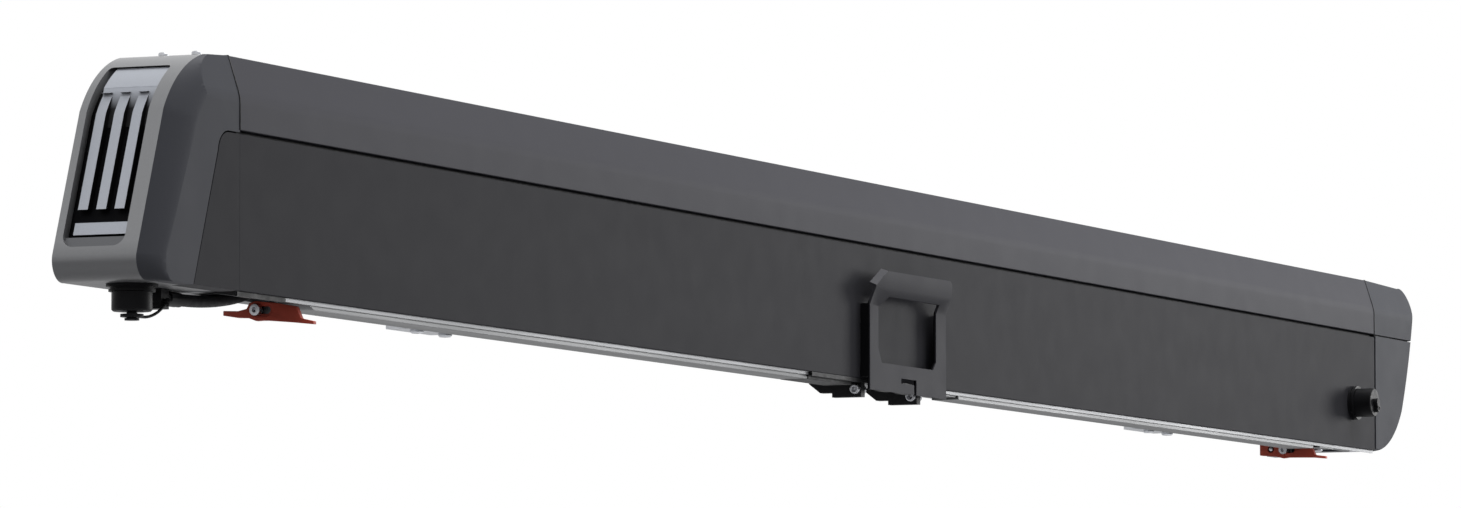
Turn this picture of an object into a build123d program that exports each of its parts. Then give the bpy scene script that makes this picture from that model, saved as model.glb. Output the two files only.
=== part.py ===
from build123d import *
import math
import os

# Retractable awning in a closed cassette, in millimetres.
# X runs along the cassette, -Y is the front, +Z is up.
# The wall plane is Y = 0 and the origin is the centre of the wall bolt pattern.

# Cassette
HALF = 1250.0
FRONT_Y = -84.0
TOP_Z = 89.0
BOTTOM_Z = -85.0
FACET_Z = 57.6
FACET_DEPTH = 10.0
FACET_BLEND = 5.0
FACET_STEPS = 4
HOOD_BOTTOM_Z = 33.5
HOOD_THICK = 2.5
PANEL_TOP_Z = 30.5
PANEL_THICK = 2.5
WALL_BACK_Y = -9.0
WALL_FRONT_Y = -12.0
FLOOR_FRONT_Y = -44.0
FLOOR_TOP_Z = -80.0
FLOOR_THICK = 3.0
SHELF_Z = 77.0
SHELF_FRONT_Y = -62.0
HOOD_BACK_Y = -3.5

# End caps: widths are measured outwards from the seam
RAIL_CAP_BACK_Y = -66.0
RAIL_CAP_GAP = 1.2
RIGHT_SEAM = 4.0
CAP_BACK_Y = -3.0
LEFT_FALL = 2.2
RIGHT_FALL = 2.5
CAP_BEVEL_Y = -72.0
CAP_NOSE = ((0.0, 0.0), (0.35, 0.52), (0.7, 0.86), (1.0, 1.0))
BAND_THICK = 8.0
INSERT_THICK = 3.0
CAP_WALL = 5.0
RECESS_Y = (-60.0, -9.0)
RECESS_Z = (-60.0, 77.0)
RECESS_CORNER = 9.0
GRILLE_HEAD_Z = 60.0
RIB_Y = (-18.5, -33.5, -48.5)
RIB_WIDTH = 8.0
RIB_BOTTOM_Z = -32.0
RIB_GAP = 1.0
RIB_SET_BACK = 4.5
HEAD_SET_BACK = 1.5
SILL_Z = (-51.0, -42.0)
RIB_STEP = 4.0
LEFT_SCOOP = ((80.9, 60.4), (90.5, 30.0))
LEFT_STEP = ((81.3, 60.2), (80.9, 56.2))
RIGHT_SCOOP = ((130.2, 60.4), (114.0, 30.0))
RIGHT_STEP = ((130.2, 60.2), (126.8, 56.2))

CAP_SCREWS = ((-1276.0, 87.7), (1276.0, 88.5))

# Wall brackets
BRACKET_X = 800.0
BRACKET_WIDTH = 80.0
BRACKET_THICK = 3.0
WALL_HOLE_Z = 40.0
WALL_HOLE_R = 4.5
BRACKET_SCREW_Y = -20.0

# Roller and canopy
ROLLER_Y = -42.8
ROLLER_Z = 47.0
TUBE_R = 25.0
TUBE_WALL = 1.2
TUBE_HALF = 1215.0
ROLL_R = 29.5
CANOPY_HALF = 1190.0
CANOPY_THICK = 0.6
STUB_R = 8.0
RUNNING_GAP = 0.05
BUSH_R = 12.0
ROLLER_BRACKET_X = 1228.0
ROLLER_BRACKET_THICK = 6.0
HEM_Y = -71.5
HEM_Z = 20.0
HEM_R = 4.0

# Folding arms
LINK = 1050.0
SHOULDER_X = 1140.0
SHOULDER_Y = -26.0
ELBOW_Y = -39.25
WRIST_Y = -52.5
ARM_Z = -34.0
BAR_WIDTH = 22.0
BAR_HEIGHT = 44.0
BAR_WALL = 2.2
BAR_START = 22.0
ELBOW_START = 28.0
EYE_R = 12.5
EYE_HALF_HEIGHT = 11.5
FORK_HALF_GAP = 12.0
FORK_HALF_HEIGHT = 20.0
ARM_PIN_R = 6.0
OPEN_WRIST_GAP = 0.5

# Lead rail
RAIL_BACK_Y = -66.5
RAIL_WALL = 2.0
RAIL_TOP_Z = 27.0
RAIL_BOTTOM_Z = -66.0
CHANNEL_BACK_Y = -47.5
LIP_Z = -88.0

# Legs
LEFT_PIVOT_X = -1120.0
RIGHT_PIVOT_X = 1070.0
LEG_Y = -67.5
LEG_Z = -80.2
LEG_SIZE = 26.0
LEG_HEIGHT = 22.0
LEG_GROOVE = (-9.0, -7.6)
LEG_WALL = 1.5
LEG_LENGTH = 925.0
INNER_SIZE = 22.2
INNER_HEIGHT = 18.2
INNER_LENGTH = 900.0
LEFT_PARKED = 96.0
RIGHT_PARKED = 81.0
HINGE_FRONT_Y = -54.1
HINGE_BACK_Y = -49.7
HINGE_BOTTOM_Z = -90.5
LEG_PIN_R = 4.0
FOOT_THICK = 8.0
FOOT_FRONT_Y = -83.5
FOOT_REAR_Y = -34.0
FOOT_STEP_Y = -56.0
FOOT_BOTTOM_Z = -101.0
FOOT_TOP_Z = -88.8
FOOT_CROWN_Z = -74.0
FOOT_PIN_R = 3.0
FOOT_BOLT = (-78.8, -94.2)

# Handle plate
HANDLE_Y = -91.0
HANDLE_THICK = 2.5
HANDLE_X = (-87.5, 84.5)
HANDLE_CORNER = (26.0, 13.5)
HANDLE_BEND = 6.0
HANDLE_TOP_Z = 9.8
HANDLE_TOP_FALL = 0.5
HANDLE_BEND_Z = (-20.0, -5.0)
HANDLE_BOTTOM_Z = -94.6
FLANGE_Z = (-84.0, -20.0)
FLANGE_GAP = 0.4
WINDOW_X = (-69.0, 61.5)
WINDOW_Z = (-70.4, -12.4)
TAB_SLOT_X = (-18.0, 16.6)
TAB_SLOT_Z = -81.7
TAB_SLOT_BAR = 4.4
TAB_SLOT_LEG = 5.4
MOUNT_X = ((-52.0, -26.0), (-8.0, 22.0))
MOUNT_Z = (-94.0, -85.0)

# Sockets, gland and cable
POWER_X = -1343.0
POWER_Y = -45.0
SOCKET_RINGS = [(19.0, 2.0), (16.2, 1.8), (17.2, 1.8)]
DUST_CAP_Z = -90.9
SOCKET_HOLE_R = 12.0
CAP_R = 15.0
LED_X = 1184.0
LED_Z = -40.0
LED_CAP_LENGTH = 17.2
GLAND_X = -1270.0
GLAND_FRONT_Y = -46.0
CABLE_R = 4.6
CABLE_Z = -90.9
TETHER_R = 1.1
LUG_R = 2.6
LUG_LENGTH = 4.0

# Latches
LATCH_THICK = 5.0
LATCH_TRAVEL = 8.0
LATCH_GAP = 0.3
LEFT_LATCH_X = -1138.0
RIGHT_LATCH_X = 1092.0
LEFT_LATCH_BOLT = (-41.2, -91.0)
RIGHT_LATCH_BOLT = (-44.7, -91.3)
LATCH_SLOT_R = 2.8
LATCH_POCKET_R = 5.2
LATCH_POCKET = 2.5
LATCH_SHANK_R = 2.5
HANGER_Z = (-97.2, -84.6)
HANGER_BACK_Y = -34.0
CAP_HEAD_R = 4.25
CAP_HEAD = 5.0
HANGER_FOOT_Z = -89.1
HANGER_PLATE_Z = (-85.2, -82.5)
HANGER_PLATE_X = 1247.0
HANGER_WING_Y = -24.0
DOME_AT = ((1124.4, -67.5, HANGER_FOOT_Z), (1210.0, -75.0, HANGER_PLATE_Z[0]))


def block(x, y, z):
    """Box between the two corners given as ranges."""
    size = (x[1] - x[0], y[1] - y[0], z[1] - z[0])
    centre = ((x[0] + x[1]) / 2, (y[0] + y[1]) / 2, (z[0] + z[1]) / 2)
    return Pos(*centre) * Box(*size)


def rod(axis, start, radius, length):
    """Cylinder that starts at a point and runs along +X, +Y or +Z."""
    turn = {"X": Rot(0, 90, 0), "Y": Rot(-90, 0, 0), "Z": Rot(0, 0, 0)}[axis]
    solid = Cylinder(radius, length, align=(Align.CENTER, Align.CENTER, Align.MIN))
    return Pos(*start) * turn * solid


def along_x(points, x0, x1):
    """Closed outline of (Y, Z) points, extruded from x0 to x1."""
    face = make_face(Polyline(*points, close=True))
    return extrude(Plane.YZ.offset(x0) * face, amount=x1 - x0)


def along_y(face, y_back, y_front):
    """Face drawn in (X, Z), extruded from y_back forwards to y_front."""
    return extrude(Plane.XZ.offset(-y_back) * face, amount=y_back - y_front)


def along_z(face, z0, z1):
    """Face drawn in (X, Y), extruded from z0 up to z1."""
    return extrude(Plane.XY.offset(z0) * face, amount=z1 - z0)


def outline(*points):
    return make_face(Polyline(*points, close=True))


def mirrored(shape):
    return mirror(shape, about=Plane.YZ)


def one(shape):
    """Boolean results as a single shape that can be written."""
    solids = shape.solids()
    return solids[0] if len(solids) == 1 else Compound(children=list(solids))


def button_screw(axis_start, shank_r, shank, head_r, head):
    """Screw pointing up: a domed head under the point, its shank above it."""
    x, y, z = axis_start
    solid = rod("Z", (x, y, z - head), head_r, head)
    solid = chamfer(solid.edges().group_by(Axis.Z)[0], head * 0.4)
    solid -= rod("Z", (x, y, z - head), shank_r * 0.5, head * 0.6)
    return one(solid + rod("Z", (x, y, z), shank_r, shank))


# Extruded cassette

def back_housing():
    wall = along_x([(WALL_FRONT_Y, FLOOR_TOP_Z - FLOOR_THICK), (WALL_BACK_Y, FLOOR_TOP_Z - FLOOR_THICK),
                    (WALL_BACK_Y, SHELF_Z + 3), (WALL_FRONT_Y, SHELF_Z + 3)], -HALF, HALF)
    floor = block((-HALF, HALF), (FLOOR_FRONT_Y, WALL_FRONT_Y), (FLOOR_TOP_Z - FLOOR_THICK, FLOOR_TOP_Z))
    floor += block((-HALF, HALF), (FLOOR_FRONT_Y, FLOOR_FRONT_Y + 3), (FLOOR_TOP_Z, FLOOR_TOP_Z + 7))
    shelf = block((-HALF, HALF), (SHELF_FRONT_Y, WALL_FRONT_Y), (SHELF_Z, SHELF_Z + 3))
    hook = along_x([(WALL_BACK_Y, 69), (-3.5, 69), (-3.5, 58), (-5.5, 58), (-5.5, 66), (WALL_BACK_Y, 66)],
                   -HALF, HALF)
    housing = wall + floor + shelf + hook
    for x in (-BRACKET_X, BRACKET_X):
        for dx in (-25, 25):
            housing -= rod("Z", (x + dx, BRACKET_SCREW_Y, -90), 3.3, 15)
    housing -= block((GLAND_X + 56, GLAND_X + 162), (POWER_Y + 4, POWER_Y + 21), (-84, -79))
    return one(housing)


def facet_edge(inset):
    """Points of the rounded edge between the front face and the upper facet, from the top down."""
    lean = math.atan(FACET_DEPTH / (TOP_Z - FACET_Z))
    radius = FACET_BLEND / math.tan(lean / 2)
    centre_y = FRONT_Y + radius
    centre_z = FACET_Z - FACET_BLEND
    points = []
    for step in range(FACET_STEPS, -1, -1):
        angle = lean * step / FACET_STEPS
        reach = radius - inset
        points.append((centre_y - reach * math.cos(angle), centre_z + reach * math.sin(angle)))
    return points


def hood_outline(inset, lip):
    """Hood section from its back edge round to the lip at its front lower edge."""
    y_bend = FRONT_Y + FACET_DEPTH + inset * 0.72
    top = [(HOOD_BACK_Y, TOP_Z - inset), (y_bend, TOP_Z - inset)]
    return top + facet_edge(inset) + [(FRONT_Y + inset, lip)]


def hood_profile():
    outer = hood_outline(0, HOOD_BOTTOM_Z)
    inner = hood_outline(HOOD_THICK, HOOD_BOTTOM_Z + 2.5)
    lip = [(FRONT_Y + 8, HOOD_BOTTOM_Z + 2.5), (FRONT_Y + 8, HOOD_BOTTOM_Z)]
    skin = along_x(outer + lip[::-1] + inner[::-1], -HALF, HALF)
    for y in (-12.0, -60.0):
        skin += block((-HALF, HALF), (y, y + 2), (SHELF_Z + 3, TOP_Z - HOOD_THICK))
    return one(skin)


def hood_seal():
    centre = (-HALF + 2, FRONT_Y + 6.5, HOOD_BOTTOM_Z - 2.2)
    bulb = rod("X", centre, 2.2, 2 * HALF - 4)
    return one(bulb - rod("X", centre, 1.3, 2 * HALF - 4))


# End caps

def between(back, front, share):
    """Points of an outline part of the way from the rear one to the front one."""
    return [(b[0] + (f[0] - b[0]) * share, b[1] + (f[1] - b[1]) * share) for b, f in zip(back, front)]


def closed_at_seam(edges, foot):
    """Face bounded by the outer edges and the straight seam (width, height)."""
    corner = (0, foot[1])
    return make_face(edges + [Line(foot, corner), Line(corner, (0, TOP_Z))])


def left_outline(share=0.0):
    """Outline of the left cap from the front, drawn in towards its front face as the share grows to 1."""
    back = [(36, TOP_Z - LEFT_FALL), (74, 68.5), (97, 42), (137, -66), (134, -79), (120, BOTTOM_Z)]
    front = [(14, TOP_Z - 1), (44, 62), (66, 36), (113, -66), (113, -78), (103, BOTTOM_Z)]
    p = between(back, front, share)
    edges = [Line((0, TOP_Z), p[0]), ThreePointArc(p[0], p[1], p[2]), Line(p[2], p[3]),
             ThreePointArc(p[3], p[4], p[5])]
    return closed_at_seam(edges, p[5])


def right_outline(share=0.0):
    """Outline of the right cap: widest near the top, swept in to the bottom."""
    back = [(99, TOP_Z - RIGHT_FALL), (125, 78), (131, 54), (116, 5), (96, -40), (67, -69), (22, BOTTOM_Z)]
    front = [(87, TOP_Z - RIGHT_FALL), (112.5, 77), (118.5, 54), (103.5, 5), (84, -40), (57, -67),
             (18, BOTTOM_Z + 2)]
    p = between(back, front, share)
    edges = [Line((0, TOP_Z), p[0]), ThreePointArc(p[0], p[1], p[2]), ThreePointArc(p[2], p[3], p[4]),
             ThreePointArc(p[4], p[5], p[6])]
    return closed_at_seam(edges, p[6])


def shrunk(face, amount):
    """Cap outline drawn in by an amount on its outer edges, and open at the seam."""
    smaller = offset(face, amount=-amount, kind=Kind.INTERSECTION)
    box = smaller.bounding_box()
    strip = outline((-1, box.min.Y), (amount + 3, box.min.Y), (amount + 3, box.max.Y), (-1, box.max.Y))
    return smaller + strip


def placed(shape, side):
    """Moves a cap drawn outwards along +X from zero to its end of the cassette."""
    shape = Pos(HALF, 0, 0) * shape
    return mirrored(shape) if side < 0 else shape


def facet_cutter(x0, x1):
    """Wedge in front of the hood's upper facet."""
    top = [(FRONT_Y - 5, TOP_Z + 5), (FRONT_Y + FACET_DEPTH, TOP_Z + 5), (FRONT_Y + FACET_DEPTH, TOP_Z)]
    edge = facet_edge(0)
    return along_x(top + edge + [(FRONT_Y - 5, edge[-1][1])], x0, x1)


def cap_solid(section):
    """Cap with a rounded nose: each section stands further forward and is drawn further in."""
    rear = along_y(section(), CAP_BACK_Y, CAP_BEVEL_Y)
    depth = CAP_BEVEL_Y - FRONT_Y
    planes = [Plane.XZ.offset(-CAP_BEVEL_Y + depth * forward) for inward, forward in CAP_NOSE]
    nose = loft([plane * section(inward) for plane, (inward, forward) in zip(planes, CAP_NOSE)])
    return (rear + nose) - facet_cutter(-5, 160)


def power_hole():
    return rod("Z", (-POWER_X - HALF, POWER_Y, BOTTOM_Z - 1), SOCKET_HOLE_R, 30)


def end_band(face):
    """Bright skin round the outer end, behind the bevel, with the grille opening."""
    skin = along_y(face, CAP_BACK_Y, CAP_BEVEL_Y) - along_y(shrunk(face, BAND_THICK), CAP_BACK_Y + 1,
                                                            CAP_BEVEL_Y - 1)
    skin -= block((-1, 8), (-90, 0), (-90, 90))
    return skin - grille_opening(20, 200)


def grille_opening(x0, x1):
    """Opening with rounded lower corners, drawn in (Y, Z)."""
    face = outline((RECESS_Y[0], RECESS_Z[0]), (RECESS_Y[1], RECESS_Z[0]), (RECESS_Y[1], RECESS_Z[1]),
                   (RECESS_Y[0], RECESS_Z[1]))
    face = fillet(face.vertices().group_by(Axis.Y)[0], RECESS_CORNER)
    face = fillet(face.vertices().group_by(Axis.Y)[-1], RECESS_CORNER / 3)
    return extrude(Plane.YZ.offset(x0) * face, amount=x1 - x0)


def in_front_of(points):
    """Room outside a sloping line of a grille insert, from its upper to its lower point (width, height)."""
    (top_x, top_z), (low_x, low_z) = points
    return along_y(outline((top_x, top_z), (low_x, low_z), (200, low_z), (200, top_z)), 0, -90)


def grille_insert(face, scoop, step):
    """Head plate, ribs that step back below it, a floor that falls away between them, and a sill."""
    def shell(set_back):
        rim = shrunk(face, set_back) - shrunk(face, BAND_THICK + INSERT_THICK)
        return along_y(rim, CAP_BACK_Y - 1, CAP_BEVEL_Y + 1)

    near, far = RECESS_Y[0] + RIB_GAP, RIB_Y[0] + RIB_WIDTH / 2
    ribs = shell(RIB_SET_BACK)
    insert = shell(HEAD_SET_BACK) & block((20, 200), (near, far), (GRILLE_HEAD_Z, RECESS_Z[1] - RIB_GAP))
    step_z = GRILLE_HEAD_Z - RIB_STEP
    for y in RIB_Y:
        front, back = y - RIB_WIDTH / 2, y + RIB_WIDTH / 2
        insert += ribs & block((20, 200), (front, back), (RIB_BOTTOM_Z, step_z + 1))
        top = shell(HEAD_SET_BACK) & block((20, 200), (front, back), (step_z, GRILLE_HEAD_Z + 0.5))
        insert += top - in_front_of(step)
    floor_z = scoop[1][1]
    floor = shell(HEAD_SET_BACK) & block((20, 200), (near, far), (floor_z, GRILLE_HEAD_Z + 1))
    insert += floor - in_front_of(scoop)
    low, high = SILL_Z
    insert += shell(RIB_SET_BACK) & block((20, 200), (near, far), (low, high))
    post = block((20, 200), (RECESS_Y[0] - 3, RECESS_Y[0] + RIB_GAP + 1), (low, RECESS_Z[1]))
    insert += shell(BAND_THICK) & post
    return one(insert)


def cap_body(section, rail_part):
    """Dark moulding: bevelled front and a shell behind the band, open towards the cassette."""
    face = section()
    body = cap_solid(section)
    body -= along_y(face, CAP_BACK_Y + 1, CAP_BEVEL_Y) - along_y(shrunk(face, BAND_THICK + INSERT_THICK),
                                                                 CAP_BACK_Y + 1, CAP_BEVEL_Y)
    hollow = shrunk(face, BAND_THICK + INSERT_THICK + CAP_WALL)
    body -= along_y(hollow, -8, CAP_BEVEL_Y)
    body += along_y(face, CAP_BACK_Y, CAP_BEVEL_Y) & block((0, 7.8), (-90, 0), (-90, 90)) & (
        along_y(face, CAP_BACK_Y, CAP_BEVEL_Y) - along_y(hollow, CAP_BACK_Y + 1, CAP_BEVEL_Y - 1))
    return body - rail_part


def left_rail_outline(gap):
    """Lead rail's left cap, inside the arch, with a rounded top corner (width, height)."""
    top, bottom = PANEL_TOP_Z + gap, BOTTOM_Z - gap
    corner = ThreePointArc((17, top), (27.5 + gap * 0.7, 27 + gap * 0.7), (33.5 + gap, 16))
    return make_face([Line((-1, top), (17, top)), corner, Line((33.5 + gap, 16), (71 + gap, bottom)),
                      Line((71 + gap, bottom), (-1, bottom)), Line((-1, bottom), (-1, top))])


def left_opening():
    """Room in the left end cap for the lead rail's cap and for the power socket."""
    return along_y(left_rail_outline(RAIL_CAP_GAP), RAIL_CAP_BACK_Y + 1, FRONT_Y - 1) + power_hole()


def right_opening():
    """Room in the right end cap for the lead rail's cap."""
    return block((-1, 160), (FRONT_Y - 1, RAIL_CAP_BACK_Y + 1), (BOTTOM_Z - 1, HOOD_BOTTOM_Z))


def left_end_cap():
    return one(placed(cap_body(left_outline, left_opening()), -1))


def right_end_cap():
    return one(placed(cap_body(right_outline, right_opening()), 1))


def left_end_band():
    return one(placed(end_band(left_outline()) - left_opening(), -1))


def right_end_band():
    return one(placed(end_band(right_outline()) - right_opening(), 1))


def left_rail_cap():
    cap = along_y(left_rail_outline(0) & outline((0, -90), (90, -90), (90, 90), (0, 90)),
                  RAIL_CAP_BACK_Y, FRONT_Y)
    return one(placed(cap, -1))


def right_rail_cap():
    room = block((RIGHT_SEAM, 160), (FRONT_Y, RAIL_CAP_BACK_Y), (BOTTOM_Z, PANEL_TOP_Z + 1.5))
    cap = cap_solid(right_outline) & room
    return one(placed(cap, 1))


def end_cap_screws():
    """Two screw heads on top of each end cap."""
    heads = []
    for x, z in CAP_SCREWS:
        for y in (-34.0, -61.5):
            head = rod("Z", (x, y, z), 3.8, 2.6)
            head = chamfer(head.edges().group_by(Axis.Z)[-1], 0.8)
            head -= rod("Z", (x, y, z + 1.2), 1.6, 2)
            heads.append(one(head))
    return Compound(children=heads)


# Wall brackets

def wall_bracket(x):
    half = BRACKET_WIDTH / 2
    plate = block((x - half, x + half), (-BRACKET_THICK, 0), (-86, 56))
    hook = along_x([(-3, 53), (-3, 56), (-5.8, 56), (-5.8, 65), (-8.2, 65), (-8.2, 53)], x - half, x + half)
    foot = block((x - half, x + half), (-30, -BRACKET_THICK), (-86, -83))
    bracket = plate + hook + foot
    bracket -= rod("Y", (x, -4, WALL_HOLE_Z), WALL_HOLE_R, 6)
    bracket -= rod("Y", (x, -4, -WALL_HOLE_Z), WALL_HOLE_R, 6)
    for dx in (-25, 25):
        bracket -= rod("Z", (x + dx, BRACKET_SCREW_Y, -90), 3.3, 10)
    return one(bracket)


def bracket_screws():
    screws = []
    for x in (-BRACKET_X, BRACKET_X):
        for dx in (-25, 25):
            screws.append(button_screw((x + dx, BRACKET_SCREW_Y, -86), 3.0, 9.5, 5.5, 3.0))
    return Compound(children=screws)


# Roller, spring and canopy

def roller_tube():
    tube = rod("X", (-TUBE_HALF, ROLLER_Y, ROLLER_Z), TUBE_R, 2 * TUBE_HALF)
    return one(tube - rod("X", (-TUBE_HALF, ROLLER_Y, ROLLER_Z), TUBE_R - TUBE_WALL, 2 * TUBE_HALF))


def roller_plug(side):
    """End plug pushed into the tube, with the stub that turns in the bush."""
    start = TUBE_HALF - 50
    plug = rod("X", (start, ROLLER_Y, ROLLER_Z), TUBE_R - TUBE_WALL, 50)
    plug += rod("X", (TUBE_HALF, ROLLER_Y, ROLLER_Z), TUBE_R, 4)
    plug += rod("X", (TUBE_HALF + 4, ROLLER_Y, ROLLER_Z), STUB_R, 28)
    return one(mirrored(plug) if side < 0 else plug)


def spring_unit():
    """Cartridge that holds the winding spring inside the tube's right end."""
    length = 420
    start = TUBE_HALF - 50 - length
    unit = rod("X", (start, ROLLER_Y, ROLLER_Z), TUBE_R - TUBE_WALL - 2.5, length)
    for x in (start + 10, start + length - 20):
        unit += rod("X", (x, ROLLER_Y, ROLLER_Z), TUBE_R - TUBE_WALL, 10)
    return one(unit)


def canopy_roll():
    roll = rod("X", (-CANOPY_HALF, ROLLER_Y, ROLLER_Z), ROLL_R, 2 * CANOPY_HALF)
    return one(roll - rod("X", (-CANOPY_HALF, ROLLER_Y, ROLLER_Z), TUBE_R, 2 * CANOPY_HALF))


def canopy_tangent():
    """Point where the fabric leaves the underside of the roll for the hem groove."""
    dy = HEM_Y + 6.5 - ROLLER_Y
    dz = HEM_Z - ROLLER_Z
    reach = math.hypot(dy, dz)
    r = ROLL_R + 0.6
    base = math.atan2(dz, dy)
    swing = math.acos(r / reach)
    angle = base + swing
    return ROLLER_Y + r * math.cos(angle), ROLLER_Z + r * math.sin(angle)


def canopy_sheet():
    """Tail of fabric between the roll and the lead rail."""
    y0, z0 = canopy_tangent()
    y1, z1 = HEM_Y + 6.5, HEM_Z
    length = math.hypot(y1 - y0, z1 - z0)
    ny, nz = -(z1 - z0) / length * CANOPY_THICK / 2, (y1 - y0) / length * CANOPY_THICK / 2
    return one(along_x([(y0 + ny, z0 + nz), (y1 + ny, z1 + nz), (y1 - ny, z1 - nz), (y0 - ny, z0 - nz)],
                       -CANOPY_HALF, CANOPY_HALF))


def roller_bracket(side):
    x0 = ROLLER_BRACKET_X
    plate = block((x0, x0 + ROLLER_BRACKET_THICK), (-62, WALL_FRONT_Y), (14, SHELF_Z))
    plate += block((x0 - 10, x0), (WALL_FRONT_Y - 3, WALL_FRONT_Y), (14, 18))
    plate -= rod("X", (x0 - 1, ROLLER_Y, ROLLER_Z), BUSH_R, 10)
    return one(mirrored(plate) if side < 0 else plate)


def roller_bushes():
    bush = rod("X", (ROLLER_BRACKET_X - 2, ROLLER_Y, ROLLER_Z), BUSH_R, ROLLER_BRACKET_THICK + 4)
    bush -= rod("X", (ROLLER_BRACKET_X - 3, ROLLER_Y, ROLLER_Z), STUB_R + RUNNING_GAP, 20)
    return Compound(children=[one(bush), one(mirrored(bush))])


# Folding arms, drawn for the left side

def plan(points, z0, z1):
    return along_z(outline(*points), z0, z1)


def shoulder_bracket(side):
    """Fork on the back wall that carries the shoulder pin."""
    x, y = -SHOULDER_X, SHOULDER_Y
    low, high = ARM_Z - FORK_HALF_HEIGHT - 9, ARM_Z + FORK_HALF_HEIGHT + 9
    fork = block((x - 45, x + 16), (WALL_FRONT_Y - 1.2, WALL_FRONT_Y), (low, high))
    for z in (low, high - 6):
        fork += plan([(x - 45, WALL_FRONT_Y - 1), (x - 45, y + 4), (x - 8, y - EYE_R + 1),
                      (x + 8, y - EYE_R + 1), (x + 16, WALL_FRONT_Y - 1)], z, z + 6)
    fork -= rod("Z", (x, y, low - 1), ARM_PIN_R, high - low + 2)
    return one(mirrored(fork) if side > 0 else fork)


def shoulder_pins():
    low, high = ARM_Z - FORK_HALF_HEIGHT - 9, ARM_Z + FORK_HALF_HEIGHT + 9
    pin = rod("Z", (-SHOULDER_X, SHOULDER_Y, low), ARM_PIN_R, high - low)
    pin += rod("Z", (-SHOULDER_X, SHOULDER_Y, high), ARM_PIN_R + 2.5, 2.5)
    return Compound(children=[one(pin), one(mirrored(pin))])


def bar(x0, x1, y):
    half_w, half_h = BAR_WIDTH / 2, BAR_HEIGHT / 2
    tube = block((x0, x1), (y - half_w, y + half_w), (ARM_Z - half_h, ARM_Z + half_h))
    tube = fillet(tube.edges().filter_by(Axis.X), 5)
    bore = block((x0 - 1, x1 + 1), (y - half_w + BAR_WALL, y + half_w - BAR_WALL),
                 (ARM_Z - half_h + BAR_WALL, ARM_Z + half_h - BAR_WALL))
    bore = fillet(bore.edges().filter_by(Axis.X), 2.8)
    return tube - bore


def bar_plug(x0, x1, y):
    """Part of a casting that fills the end of a bar."""
    half_w, half_h = BAR_WIDTH / 2 - BAR_WALL, BAR_HEIGHT / 2 - BAR_WALL
    plug = block((x0, x1), (y - half_w, y + half_w), (ARM_Z - half_h, ARM_Z + half_h))
    return fillet(plug.edges().filter_by(Axis.X), 2.8)


def upper_arm(side):
    tube = bar(-SHOULDER_X + BAR_START, -SHOULDER_X + LINK - ELBOW_START, SHOULDER_Y)
    return one(mirrored(tube) if side > 0 else tube)


def upper_arm_ends(side):
    """Shoulder knuckle, elbow fork and elbow pin: castings pushed into the ends of the upper arm."""
    x, y = -SHOULDER_X, SHOULDER_Y
    half = BAR_HEIGHT / 2
    knuckle = rod("Z", (x, y, ARM_Z - half), EYE_R, BAR_HEIGHT)
    knuckle += block((x, x + BAR_START), (y - BAR_WIDTH / 2, y + BAR_WIDTH / 2), (ARM_Z - half, ARM_Z + half))
    knuckle += bar_plug(x + BAR_START, x + BAR_START + 40, y)
    knuckle -= rod("Z", (x, y, ARM_Z - half - 1), ARM_PIN_R + RUNNING_GAP, BAR_HEIGHT + 2)
    ex = x + LINK
    fork = bar_plug(ex - ELBOW_START - 40, ex - ELBOW_START, y)
    fork += block((ex - ELBOW_START, ex - ELBOW_START + 2), (y - BAR_WIDTH / 2, y + BAR_WIDTH / 2),
                  (ARM_Z - half, ARM_Z + half))
    for z in (ARM_Z - half, ARM_Z + FORK_HALF_GAP):
        cheek = plan([(ex - ELBOW_START, y - BAR_WIDTH / 2), (ex - 6, ELBOW_Y - EYE_R * 0.86),
                      (ex + EYE_R, ELBOW_Y), (ex + EYE_R, y), (ex + EYE_R - 8, y + BAR_WIDTH / 2),
                      (ex - ELBOW_START, y + BAR_WIDTH / 2)], z, z + half - FORK_HALF_GAP)
        cheek += rod("Z", (ex, ELBOW_Y, z), EYE_R, half - FORK_HALF_GAP)
        fork += cheek
    fork += plan([(ex - ELBOW_START, y - 2), (ex - 10, y - 2), (ex - 6, y + 2), (ex - 6, y + BAR_WIDTH / 2),
                  (ex - ELBOW_START, y + BAR_WIDTH / 2)], ARM_Z - half, ARM_Z + half)
    fork -= rod("Z", (ex, ELBOW_Y, ARM_Z - half - 1), ARM_PIN_R, BAR_HEIGHT + 2)
    pin = rod("Z", (ex, ELBOW_Y, ARM_Z - half), ARM_PIN_R, BAR_HEIGHT)
    pin += rod("Z", (ex, ELBOW_Y, ARM_Z + half), ARM_PIN_R + 2.5, 2.5)
    pieces = [one(knuckle), one(fork), one(pin)]
    if side > 0:
        pieces = [one(mirrored(piece)) for piece in pieces]
    return Compound(children=pieces)


def forearm(side):
    tube = bar(-SHOULDER_X + BAR_START, -SHOULDER_X + LINK - ELBOW_START, WRIST_Y)
    return one(mirrored(tube) if side > 0 else tube)


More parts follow.
